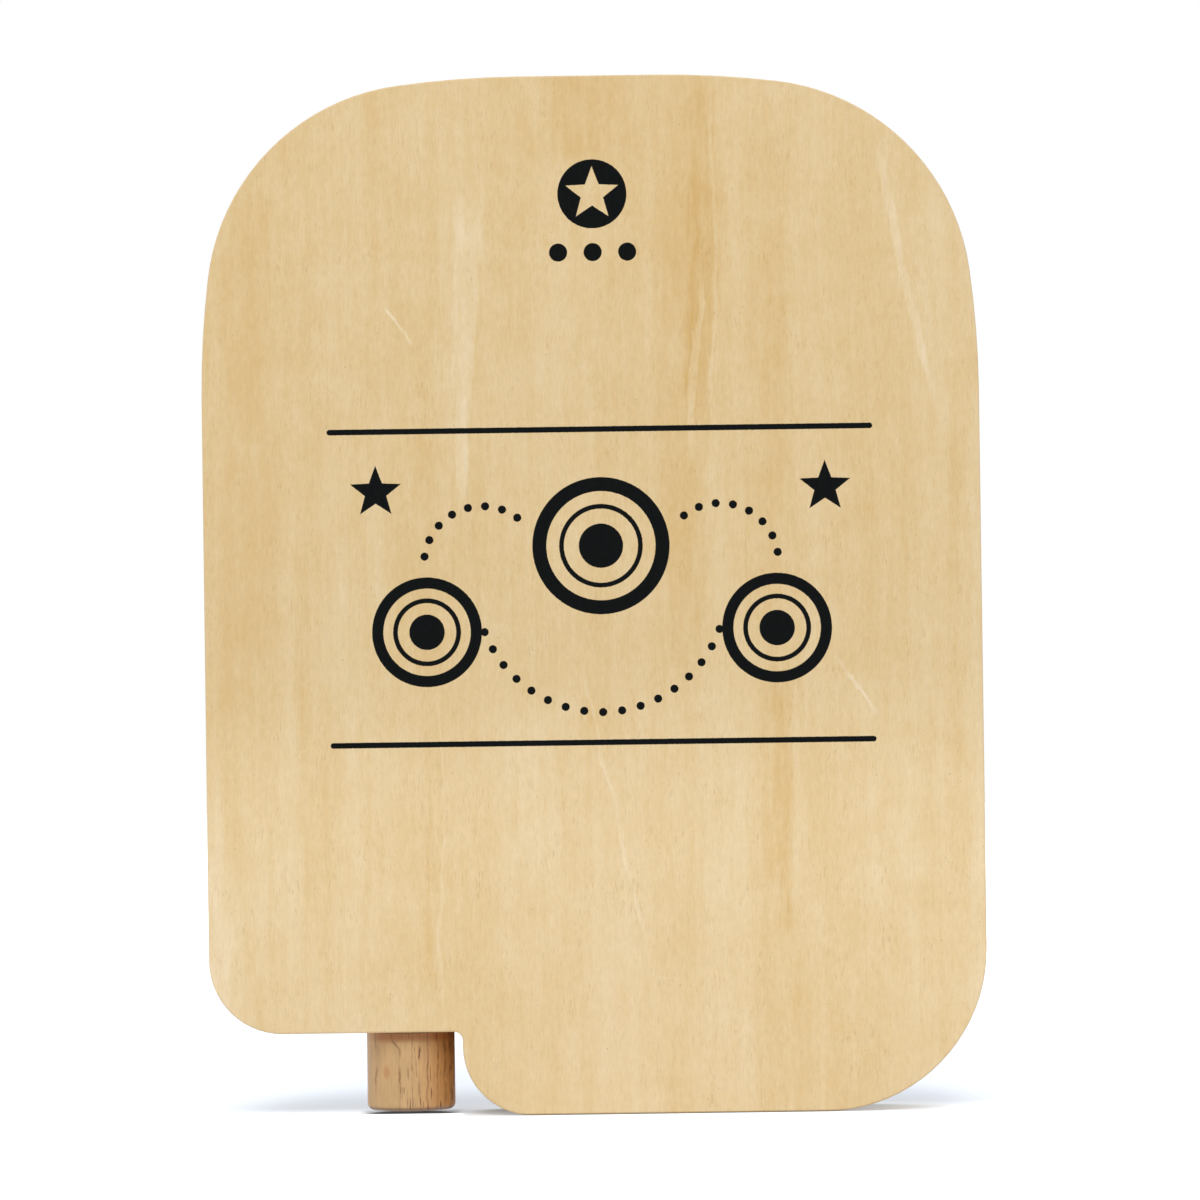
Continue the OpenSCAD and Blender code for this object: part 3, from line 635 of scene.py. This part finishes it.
def frosted(name):
    """The sawn edge of clear acrylic: pale, dull and faintly green."""
    look = Look(name)
    grain = look.noise((0.4, 0.4, 0.4), detail=3, rough=0.7, seed=85)
    cuts = look.noise((0.25, 9, 0.25), detail=2, seed=86)
    colour = look.mix(look.fade(cuts, 0.3, 0.7), linear((188, 206, 200)), linear((212, 224, 220)))
    colour = look.shade(colour, grain, 0.06)
    return look.surface(colour, look.fade(grain, 0.3, 0.7, 0.4, 0.6), cuts, 0.01)


LOOKS = {
    "panel": plywood("panel_veneer", REAR_Y, 3, 4, 1, printed=True),
    "frame_wood": plywood("frame_plywood", PANEL_Y, 11, 16, 2),
    "trim": plywood("trim_plywood", BEZEL_Y, 3, 3, 3),
    "playfield": board_paint("playfield_paint"),
    "cover": clear_sheet("clear_acrylic"),
    "steel": metal("plated_steel", (196, 198, 202), 0.28, 11),
    "spring_steel": metal("spring_wire", (178, 180, 184), 0.25, 12, grain=(0.3, 0.3, 0.3)),
    "ball_steel": metal("polished_steel", (206, 208, 212), 0.09, 13, grain=(4, 0.3, 4), stain=0.04),
    "beech": turned("beech", 21),
    "beech_knob": knob_wood("beech_knob", 22),
    "brass": metal("brass", (214, 176, 88), 0.22, 14),
    "red_wood": paint("red_paint", (196, 48, 40), 31),
    "yellow_wood": paint("yellow_paint", (232, 178, 40), 32),
    "blue_wood": paint("blue_paint", (42, 108, 158), 33),
    "rubber": soft_black("black_rubber"),
}
ALONG_DEPTH = turned("beech_across", 23, turn=(radians(90), 0, 0))
INKS = {name: paint(name + "_ink", rgb, seed, rough=0.42, worn=0.15) for name, rgb, seed in (
    ("cream", (238, 226, 196), 34), ("yellow", (240, 190, 54), 35),
    ("red", (206, 58, 46), 36), ("teal", (64, 160, 168), 37),
)}


# The CAD nodes keep their meshes and get materials, and their edges are rounded by modifiers

# How wide each piece's edges are rounded
EDGES = {
    "back_panel": 0.5, "frame": 0.35, "rod_block": 0.1, "bezel": 0.7,
    "lane_rail_inner": 0.6, "lane_rail_outer": 0.6, "plunger_guide": 0.4,
    "plunger_collar": 0.15, "plunger_rod": 0.15, "spring_washer": 0.12,
    "flipper_left": 0.8, "flipper_right": 0.8, "thumb_lever_left": 0.9, "thumb_lever_right": 0.9,
    "flipper_axle_left": 0.4, "flipper_axle_right": 0.4, "slope_left": 0.25, "slope_right": 0.25,
    "bumper_upper_left": 0.2, "bumper_upper_right": 0.2, "bumper_lower": 0.2,
    "score_cup_left": 0.5, "score_cup_right": 0.5, "score_cup_middle": 0.5, "stop_pins": 0.2,
}
SHARP = radians(38)


def join_points(piece, name):
    """A modifier that joins the mesh's doubled points."""
    piece.modifiers.new(name, "WELD").merge_threshold = JOIN * MM


def round_edges(piece, width):
    """Joins the mesh's doubled points, merges flat faces and rounds the sharp edges."""
    join_points(piece, "weld")
    flat = piece.modifiers.new("flat", "DECIMATE")
    flat.decimate_type = "DISSOLVE"
    flat.angle_limit = radians(0.05)
    bevel = piece.modifiers.new("bevel", "BEVEL")
    bevel.width = width * MM
    bevel.segments = 3
    bevel.limit_method = "ANGLE"
    bevel.angle_limit = SHARP
    bevel.use_clamp_overlap = False
    bevel.loop_slide = False
    normals = piece.modifiers.new("normals", "WEIGHTED_NORMAL")
    normals.keep_sharp = False


join_points(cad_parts["cover"], "whole")
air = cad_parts["cover"].modifiers.new("air", "DISPLACE")
air.mid_level = 0
air.strength = -AIR_GAP * MM
for name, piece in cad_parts.items():
    for slot in piece.material_slots:
        slot.material = LOOKS[slot.material.name.split(".")[0]]
    if name in EDGES:
        round_edges(piece, EDGES[name])
for side in ("left", "right"):
    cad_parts["flipper_axle_" + side].material_slots[0].material = ALONG_DEPTH


# New pieces

def put(name, data):
    """A new object in the scene."""
    piece = bpy.data.objects.new(name, data)
    bpy.context.scene.collection.objects.link(piece)
    return piece


def add_piece(name, mesh, material, body):
    """A new object that moves with a body."""
    piece = put(name, mesh)
    mesh.materials.clear()
    mesh.materials.append(material)
    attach(piece, body)
    return piece


def take_mesh(name, shape):
    """The mesh of a bmesh, which is freed."""
    mesh = bpy.data.meshes.new(name)
    shape.to_mesh(mesh)
    shape.free()
    return mesh


def mesh_from(holder, place):
    """The closed mesh of a curve or text object, put at a place."""
    mesh = bpy.data.meshes.new_from_object(holder)
    bpy.data.objects.remove(holder)
    mesh.transform(place)
    shape = bmesh.new()
    shape.from_mesh(mesh)
    bmesh.ops.remove_doubles(shape, verts=shape.verts, dist=0.0005 * MM)
    bmesh.ops.recalc_face_normals(shape, faces=shape.faces)
    shape.to_mesh(mesh)
    shape.free()
    return mesh


def ink(name, loops, colour, y=FLOOR_Y, body="case", slot="playfield"):
    """A thin closed sheet of ink at depth y, from loops of (x, z). Inner loops are holes."""
    curve = bpy.data.curves.new(name, "CURVE")
    curve.dimensions = "2D"
    curve.fill_mode = "BOTH"
    curve.extrude = INK_T / 2 * MM
    for loop in loops:
        spline = curve.splines.new("POLY")
        spline.points.add(len(loop) - 1)
        for point, (x, z) in zip(spline.points, loop):
            point.co = (x * MM, z * MM, 0, 1)
        spline.use_cyclic_u = True
    upright = Matrix.Translation((0, (y + INK_OUT) * MM, 0)) @ Matrix.Rotation(pi / 2, 4, "X")
    mesh = mesh_from(bpy.data.objects.new(name, curve), upright)
    return add_piece(name, mesh, INKS[colour], body)


def arc(centre, radius, start=0, end=360, count=48):
    """Points on an arc, angles in degrees. A whole turn leaves out the last point."""
    last = count if abs(end - start) < 360 else count - 1
    angles = [radians(start + (end - start) * i / count) for i in range(last + 1)]
    return [(centre[0] + radius * cos(a), centre[1] + radius * sin(a)) for a in angles]


def ring(centre, radius, width):
    """The two circles of a ring around its middle radius."""
    return [arc(centre, radius + width / 2), arc(centre, radius - width / 2)]


def star(centre, tip_r):
    """A star with five points, one of them up."""
    loop = []
    for i in range(10):
        a = pi / 2 + pi * i / 5
        r = tip_r * 0.42 if i % 2 else tip_r
        loop.append((centre[0] + r * cos(a), centre[1] + r * sin(a)))
    return [loop]


def chevron(centre, width, height, thick, up=1):
    """A bent arrow that points up or down."""
    x, z = centre
    w, h, t = width / 2, up * height, up * thick
    return [[(x - w, z), (x, z + h), (x + w, z), (x + w, z + t), (x, z + h + t), (x - w, z + t)]]


def blade(centre, inner, outer, angle, spread):
    """One pointed ray of a sun."""
    a, s = radians(angle), radians(spread)
    return [[
        (centre[0] + inner * cos(a - s), centre[1] + inner * sin(a - s)),
        (centre[0] + outer * cos(a), centre[1] + outer * sin(a)),
        (centre[0] + inner * cos(a + s), centre[1] + inner * sin(a + s)),
    ]]


def number(name, text, centre, size, colour):
    """A number on the playfield that reads from the front."""
    curve = bpy.data.curves.new(name, "FONT")
    curve.body = text
    curve.size = size * MM
    curve.align_x = "CENTER"
    curve.align_y = "CENTER"
    curve.extrude = INK_T / 2 * MM
    curve.offset = 0.02 * size * MM
    curve.resolution_u = 6
    facing = Matrix(((-1, 0, 0, centre[0] * MM), (0, 0, 1, (FLOOR_Y + INK_OUT) * MM),
                     (0, 1, 0, centre[1] * MM), (0, 0, 0, 1)))
    mesh = mesh_from(bpy.data.objects.new(name, curve), facing)
    return add_piece(name, mesh, INKS[colour], "case")


def sawn_edge():
    """The cover's outer edge, as a thin band in the gap beside the clear sheet."""
    bores = SCREWS + list(PIVOTS.values())
    shape = bmesh.new()
    shape.from_mesh(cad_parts["cover"].data)
    bmesh.ops.remove_doubles(shape, verts=shape.verts, dist=JOIN * MM)
    gone = []
    for face in shape.faces:
        depths = [v.co.y for v in face.verts]
        middle = face.calc_center_median() / MM
        near = min(sqrt((middle.x - x) ** 2 + (middle.z - z) ** 2) for x, z in bores)
        if max(depths) - min(depths) < MM or near < BORE_ROOM:
            gone.append(face)
    bmesh.ops.delete(shape, geom=gone, context="FACES")
    bmesh.ops.solidify(shape, geom=shape.faces[:], thickness=AIR_GAP / 2 * MM)
    bmesh.ops.recalc_face_normals(shape, faces=shape.faces)
    # The band is a little narrower than the sheet is thick
    middle_y, share = (COVER_Y + BEZEL_Y) / 2 * MM, 0.99
    for v in shape.verts:
        v.co.y = middle_y + share * (v.co.y - middle_y)
    mesh = take_mesh("cover_edge", shape)
    add_piece("cover_edge", mesh, frosted("frosted_acrylic"), "case")


sawn_edge()


# The printed playfield

def wall_path(inset, low_left, low_right):
    """A line beside the frame's inner wall, from one side over the arch to the other."""
    d = RIM_W + inset
    x, z = TOP_CORNER
    side_middle = (EDGE_X - SHOULDER_R, z - SHOULDER_RUN)
    top_middle = (x - SHOULDER_RUN, CASE_H - SHOULDER_R)
    rise = 90 - SHOULDER_A
    right = (arc(side_middle, SHOULDER_R - d, 0, SHOULDER_A, 8)
             + arc(TOP_CORNER, TOP_R - d, SHOULDER_A, rise, 24)
             + arc(top_middle, SHOULDER_R - d, rise, 90, 8))
    left = [(-px, pz) for px, pz in reversed(right)]
    return [(EDGE_X - d, low_left)] + right + left + [(d - EDGE_X, low_right)]


def wall_band(inset, width):
    """A band beside the wall that ends lower on the field's side than on the lane's."""
    ends = (100, 158)
    return [wall_path(inset, *ends) + wall_path(inset + width, *ends)[::-1]]


ink("arch_band_cream", wall_band(2.2, 1.6), "cream")
ink("arch_band_red", wall_band(5.2, 3.2), "red")
ink("arch_band_yellow", wall_band(9.8, 0.9), "yellow")
for (name, centre), colour in zip(BUMPERS.items(), ("red", "yellow", "teal")):
    ink("halo_" + name, ring(centre, 12.2, 2.2), "cream")
    rays = [blade(centre, 14.2, 18.4, 30 * i, 6.5)[0] for i in range(12)]
    ink("rays_" + name, rays, colour)
    ink("cap_ring_" + name, ring(centre, 4.7, 1.1), "cream", y=COVER_Y - BUMPER_ROOM,
        slot="red_wood")
for i, x in enumerate(TOP_LANES):
    ink(f"lane_arrow_{i}", chevron((x, 198.5), 7, 4, 2.2, -1), "yellow" if i % 2 else "cream")
    number(f"lane_number_{i}", ("10", "30", "30", "10")[i], (x, 207), 7.5, "cream")
ink("top_star", star((FIELD_X, 219), 5.2), "yellow")
for i, (dx, size) in enumerate(((-11, 3.4), (11, 3.4), (-20, 2.4), (20, 2.4))):
    ink(f"top_star_small_{i}", star((FIELD_X + dx, 218.3), size), "cream")
for name, centre in CUPS.items():
    low = (centre[0], centre[1] - 19)
    number("cup_number_" + name, "100" if name == "middle" else "50", low, 8.5, "yellow")
    under = arc(centre, 14.4, 200, 340, 24) + arc(centre, 13.2, 340, 200, 24)
    ink("cup_arc_" + name, [under], "cream")
number("bumper_number", "20", (FIELD_X, 168), 8, "cream")

# A sun between the flippers and the drain under it
sun = (FIELD_X, 62)
ink("sun_disc", ring(sun, 4.9, 2.4), "yellow")
ink("sun_core", [arc(sun, 2.4)], "cream")
ink("sun_rays_long", [blade(sun, 8, 17.5, 22.5 + 45 * i, 7)[0] for i in range(8)], "yellow")
ink("sun_rays_short", [blade(sun, 8, 13, 45 * i, 6)[0] for i in range(8)], "red")
for i, z in enumerate((36, 31)):
    ink(f"drain_arrow_{i}", chevron((FIELD_X, z), 12, 5, 2, -1), "red" if i else "cream")
ink("tray_line", [[(-14, 25.3), (62, 25.3), (62, 26.5), (-14, 26.5)]], "cream")

# The lane's arrows and the pocket beside it
for i in range(6):
    arrow = chevron((PLUNGER_X, 112 + 9 * i), 8.5, 4.2, 2.4)
    ink(f"shot_arrow_{i}", arrow, "yellow" if i % 2 else "red")
for i in range(6):
    size, colour = (3.8, "cream") if i % 2 else (2.7, "teal")
    ink(f"pocket_star_{i}", star((-67.3, 88 + 11 * i), size), colour)
ink("pocket_frame", [
    [(-77.6, 81.6), (-57, 81.6), (-57, 147.8), (-77.6, 147.8)],
    [(-76.7, 82.5), (-57.9, 82.5), (-57.9, 146.9), (-76.7, 146.9)],
], "cream")


def flipper_point(side, along):
    """A point on a flipper's face, from its pivot towards its tip."""
    a = radians(180 + DROOP if side == "left" else -DROOP)
    x, z = PIVOTS[side]
    return x + along * cos(a), z + along * sin(a)


for side in ("left", "right"):
    for i, along in enumerate((12, 18.5, 24)):
        ink(f"flipper_star_{side}_{i}", star(flipper_point(side, along), 2.6 - 0.5 * i), "cream",
            y=COVER_Y - FLIPPER_GAP, body=side + "_flipper", slot="red_wood")


# The spring and the screws

def spring():
    """The spring as a smooth wire with a closed turn at each end."""
    wire_r, radius, turns, closed_pitch = 0.5, 5.1, 6, 1.5
    low, high = SPRING_LOW + wire_r, SPRING_HIGH - wire_r
    open_pitch = (high - low - 2 * closed_pitch) / turns
    per_turn, round_count = 40, 12
    count = per_turn * (turns + 2)
    line = []
    for i in range(count + 1):
        turn = i / per_turn
        inner = min(max(turn - 1, 0), turns)
        z = low + closed_pitch * (turn - inner) + open_pitch * inner
        a = 2 * pi * turn
        line.append(Vector((PLUNGER_X + radius * cos(a), AXIS_Y + radius * sin(a), z)))
    shape = bmesh.new()
    rings = []
    for i, point in enumerate(line):
        ahead = (line[min(i + 1, count)] - line[max(i - 1, 0)]).normalized()
        out = Vector((point.x - PLUNGER_X, point.y - AXIS_Y, 0)).normalized()
        up = ahead.cross(out).normalized()
        out = up.cross(ahead)
        rings.append([
            shape.verts.new((point + wire_r * (cos(b) * out + sin(b) * up)) * MM)
            for b in (2 * pi * k / round_count for k in range(round_count))
        ])
    for a, b in zip(rings, rings[1:]):
        for k in range(round_count):
            n = (k + 1) % round_count
            shape.faces.new((a[k], a[n], b[n], b[k]))
    shape.faces.new(rings[0][::-1])
    shape.faces.new(rings[-1])
    bmesh.ops.recalc_face_normals(shape, faces=shape.faces)
    for face in shape.faces:
        face.smooth = len(face.verts) == 4
    mesh = take_mesh("spring_wire", shape)
    piece = add_piece("spring_wire", mesh, LOOKS["spring_steel"], "case")
    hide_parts("plunger_spring")
    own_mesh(piece)


spring()


def lathe(profile):
    """A closed solid turned round z from (radius, height) points, with its ends on the axis."""
    count = 32
    shape = bmesh.new()
    rows = []
    for r, z in profile:
        if r == 0:
            rows.append([shape.verts.new((0, 0, z * MM))])
        else:
            rows.append([
                shape.verts.new((r * cos(a) * MM, r * sin(a) * MM, z * MM))
                for a in (2 * pi * k / count for k in range(count))
            ])
    for a, b in zip(rows, rows[1:]):
        for k in range(count):
            n = (k + 1) % count
            if len(a) == 1:
                shape.faces.new((a[0], b[n], b[k]))
            elif len(b) == 1:
                shape.faces.new((a[k], a[n], b[0]))
            else:
                shape.faces.new((a[k], a[n], b[n], b[k]))
    bmesh.ops.recalc_face_normals(shape, faces=shape.faces)
    return shape


def screw_mesh():
    """A screw with a domed head and a cross recess. Its head stands on z 0, its shaft is below."""
    head_r, head_h, shaft_r, shaft_l = 2.5, 1.4, 1.25, 14
    cross_l, cross_w, cross_h, cross_z, taper = 2.7, 0.62, 1.6, 1.35, 0.55
    dome_r = (head_r ** 2 + head_h ** 2) / (2 * head_h)
    dome = []
    for i in range(9):
        r = head_r * (1 - i / 8)
        dome.append((r, head_h - dome_r + sqrt(dome_r ** 2 - r ** 2)))
    shape = lathe([(0, -shaft_l), (shaft_r, -shaft_l), (shaft_r, 0)] + dome)
    cutter = bmesh.new()
    for turn in (0, pi / 2):
        made = bmesh.ops.create_cube(cutter, size=1)["verts"]
        for v in made:
            narrow = 1 if v.co.z > 0 else taper
            v.co = Vector((v.co.x * cross_l * narrow * MM, v.co.y * cross_w * narrow * MM,
                           (v.co.z * cross_h + cross_z) * MM))
        bmesh.ops.rotate(cutter, verts=made, matrix=Matrix.Rotation(turn, 3, "Z"))
    holder = put("screw_holder", take_mesh("screw_head", shape))
    tool = put("screw_tool", take_mesh("screw_cross", cutter))
    cut = holder.modifiers.new("cut", "BOOLEAN")
    cut.operation = "DIFFERENCE"
    cut.solver = "EXACT"
    cut.use_self = True
    cut.object = tool
    bpy.context.view_layer.update()
    graph = bpy.context.evaluated_depsgraph_get()
    result = bpy.data.meshes.new_from_object(holder.evaluated_get(graph))
    for thing in (holder, tool):
        bpy.data.objects.remove(thing)
    return result


def screws():
    """The trim ring's screws, each turned a little further than the one before."""
    one = screw_mesh()
    shape = bmesh.new()
    for i, (x, z) in enumerate(SCREWS):
        start = len(shape.verts)
        shape.from_mesh(one)
        shape.verts.ensure_lookup_table()
        place = (Matrix.Translation((x * MM, (BEZEL_Y + BEZEL_T) * MM, z * MM))
                 @ Matrix.Rotation(-pi / 2, 4, "X") @ Matrix.Rotation(0.7 * i, 4, "Z"))
        bmesh.ops.transform(shape, matrix=place, verts=shape.verts[start:])
    mesh = take_mesh("cross_screws", shape)
    for face in mesh.polygons:
        face.use_smooth = True
    piece = add_piece("cross_screws", mesh, LOOKS["steel"], "case")
    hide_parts("bezel_screws")
    split = piece.modifiers.new("split", "EDGE_SPLIT")
    split.split_angle = radians(35)


screws()


# Floor, light and camera

def seen_share(tree):
    """1 for rays from the camera, and for those that metal and glass send on."""
    path = tree.nodes.new("ShaderNodeLightPath")
    share = path.outputs["Is Camera Ray"]
    for key in ("Is Glossy Ray", "Is Transmission Ray"):
        most = tree.nodes.new("ShaderNodeMath")
        most.operation = "MAXIMUM"
        tree.links.new(share, most.inputs[0])
        tree.links.new(path.outputs[key], most.inputs[1])
        share = most.outputs[0]
    return share


def floor():
    """A white floor whose own light, seen straight, takes the grey out of all but the shadow."""
    half, z = 6, -0.02 * MM
    mesh = bpy.data.meshes.new("floor")
    corners = [(-half, -half, z), (half, -half, z), (half, half, z), (-half, half, z)]
    mesh.from_pydata(corners, [], [(0, 1, 2, 3)])
    piece = put("floor", mesh)
    look = Look("floor_white")
    white = look.node("ShaderNodeBsdfDiffuse", Color=linear((238, 241, 244)))

    # The shadow starts at the rear face's line, and further back beside the foot's straight part
    x, y, _ = look.split(look.place)
    line, foot, corner, reach = REAR_Y - 0.5, 30, 42, 24
    wide = look.math("ABSOLUTE", x)
    start = look.fade(wide, foot, corner, line, REAR_Y + 11)
    behind = look.fade(y, start, look.plus(start, reach))

    # It fades out around the case, faster to the sides, and the floor in front of the line is white
    flank, pinch = 50, 1.8
    aside = look.math("MAXIMUM", look.minus(wide, flank), 0)
    off = look.vector("LENGTH", look.join(look.times(aside, pinch), y, 0))
    near = look.times(behind, look.fade(off, 110, 30))
    lifted = look.minus(FLOOR_LIFT, look.times(near, FLOOR_LIFT - NEAR_LIFT))
    lifted = look.plus(lifted, look.fade(y, line, REAR_Y - 4, 0, 0.4))

    # The floor is dark under the knob, white right in front of it, and white far away
    by_knob = look.fade(look.math("ABSOLUTE", look.minus(x, PLUNGER_X)), 13, 10)
    under = look.times(look.fade(y, -3, -1, 0, 0.9), look.fade(y, 12, 9))
    under = look.times(by_knob, under)
    lifted = look.times(lifted, look.minus(1, under))
    before_knob = look.times(by_knob, look.fade(y, -2, -4, 0, 0.8))
    lifted = look.math("MAXIMUM", look.plus(lifted, before_knob), look.fade(off, 300, 900))
    lift = look.node("ShaderNodeEmission", Color=(1, 1, 1, 1), Strength=lifted)
    cool = look.node("ShaderNodeBsdfDiffuse", Color=linear((226, 236, 250)))
    both = look.node("ShaderNodeAddShader")
    look.feed(both.inputs[0], cool.outputs[0])
    look.feed(both.inputs[1], lift.outputs[0])
    mixed = look.node("ShaderNodeMixShader")
    look.feed(mixed.inputs[0], seen_share(look.tree))
    look.feed(mixed.inputs[1], white.outputs[0])
    look.feed(mixed.inputs[2], both.outputs[0])
    mesh.materials.append(look.end(mixed))


def sky():
    """An even grey light all round that looks white itself."""
    world = bpy.data.worlds.new("studio")
    bpy.context.scene.world = world
    world.use_nodes = True
    tree = world.node_tree
    tree.nodes.clear()
    level = tree.nodes.new("ShaderNodeMapRange")
    level.inputs["To Min"].default_value = SKY_LEVEL
    level.inputs["To Max"].default_value = 1
    tree.links.new(seen_share(tree), level.inputs["Value"])
    back = tree.nodes.new("ShaderNodeBackground")
    tree.links.new(level.outputs[0], back.inputs["Strength"])
    back.inputs["Color"].default_value = (1, 1, 1, 1)
    out = tree.nodes.new("ShaderNodeOutputWorld")
    tree.links.new(back.outputs[0], out.inputs["Surface"])


def lamp(name, place, size, watts):
    """A square lamp that faces the case's middle. Its place and size are in metres."""
    light = bpy.data.lights.new(name, "AREA")
    light.shape = "SQUARE"
    light.size = size
    light.energy = watts
    piece = put(name, light)
    piece.location = place
    towards = Vector(LAMP_AIM) - Vector(place)
    piece.rotation_euler = towards.to_track_quat("-Z", "Y").to_euler()


def camera():
    """The photo's view, with the lens that gives the frame its scale."""
    lens = bpy.data.cameras.new("camera")
    lens.sensor_width = SENSOR
    lens.lens = SENSOR * DISTANCE / (FRAME_PX * MM_PER_PX)
    lens.shift_y = SHIFT_Y
    lens.clip_start = 0.05
    lens.clip_end = 50
    piece = put("camera", lens)
    piece.matrix_world = (
        Matrix.Translation((CAMERA_X * MM, (REAR_Y - DISTANCE) * MM, CAMERA_Z * MM))
        @ Matrix.Rotation(radians(90 + PITCH), 4, "X") @ Matrix.Rotation(radians(ROLL), 4, "Z")
    )
    bpy.context.scene.camera = piece


floor()
sky()
lamp("key", (-0.2, -2.25, 2.3), 1.8, 52)
lamp("front", (0.4, 2.1, 2.2), 1.8, 36)
camera()
bpy.context.scene.view_settings.view_transform = "Standard"
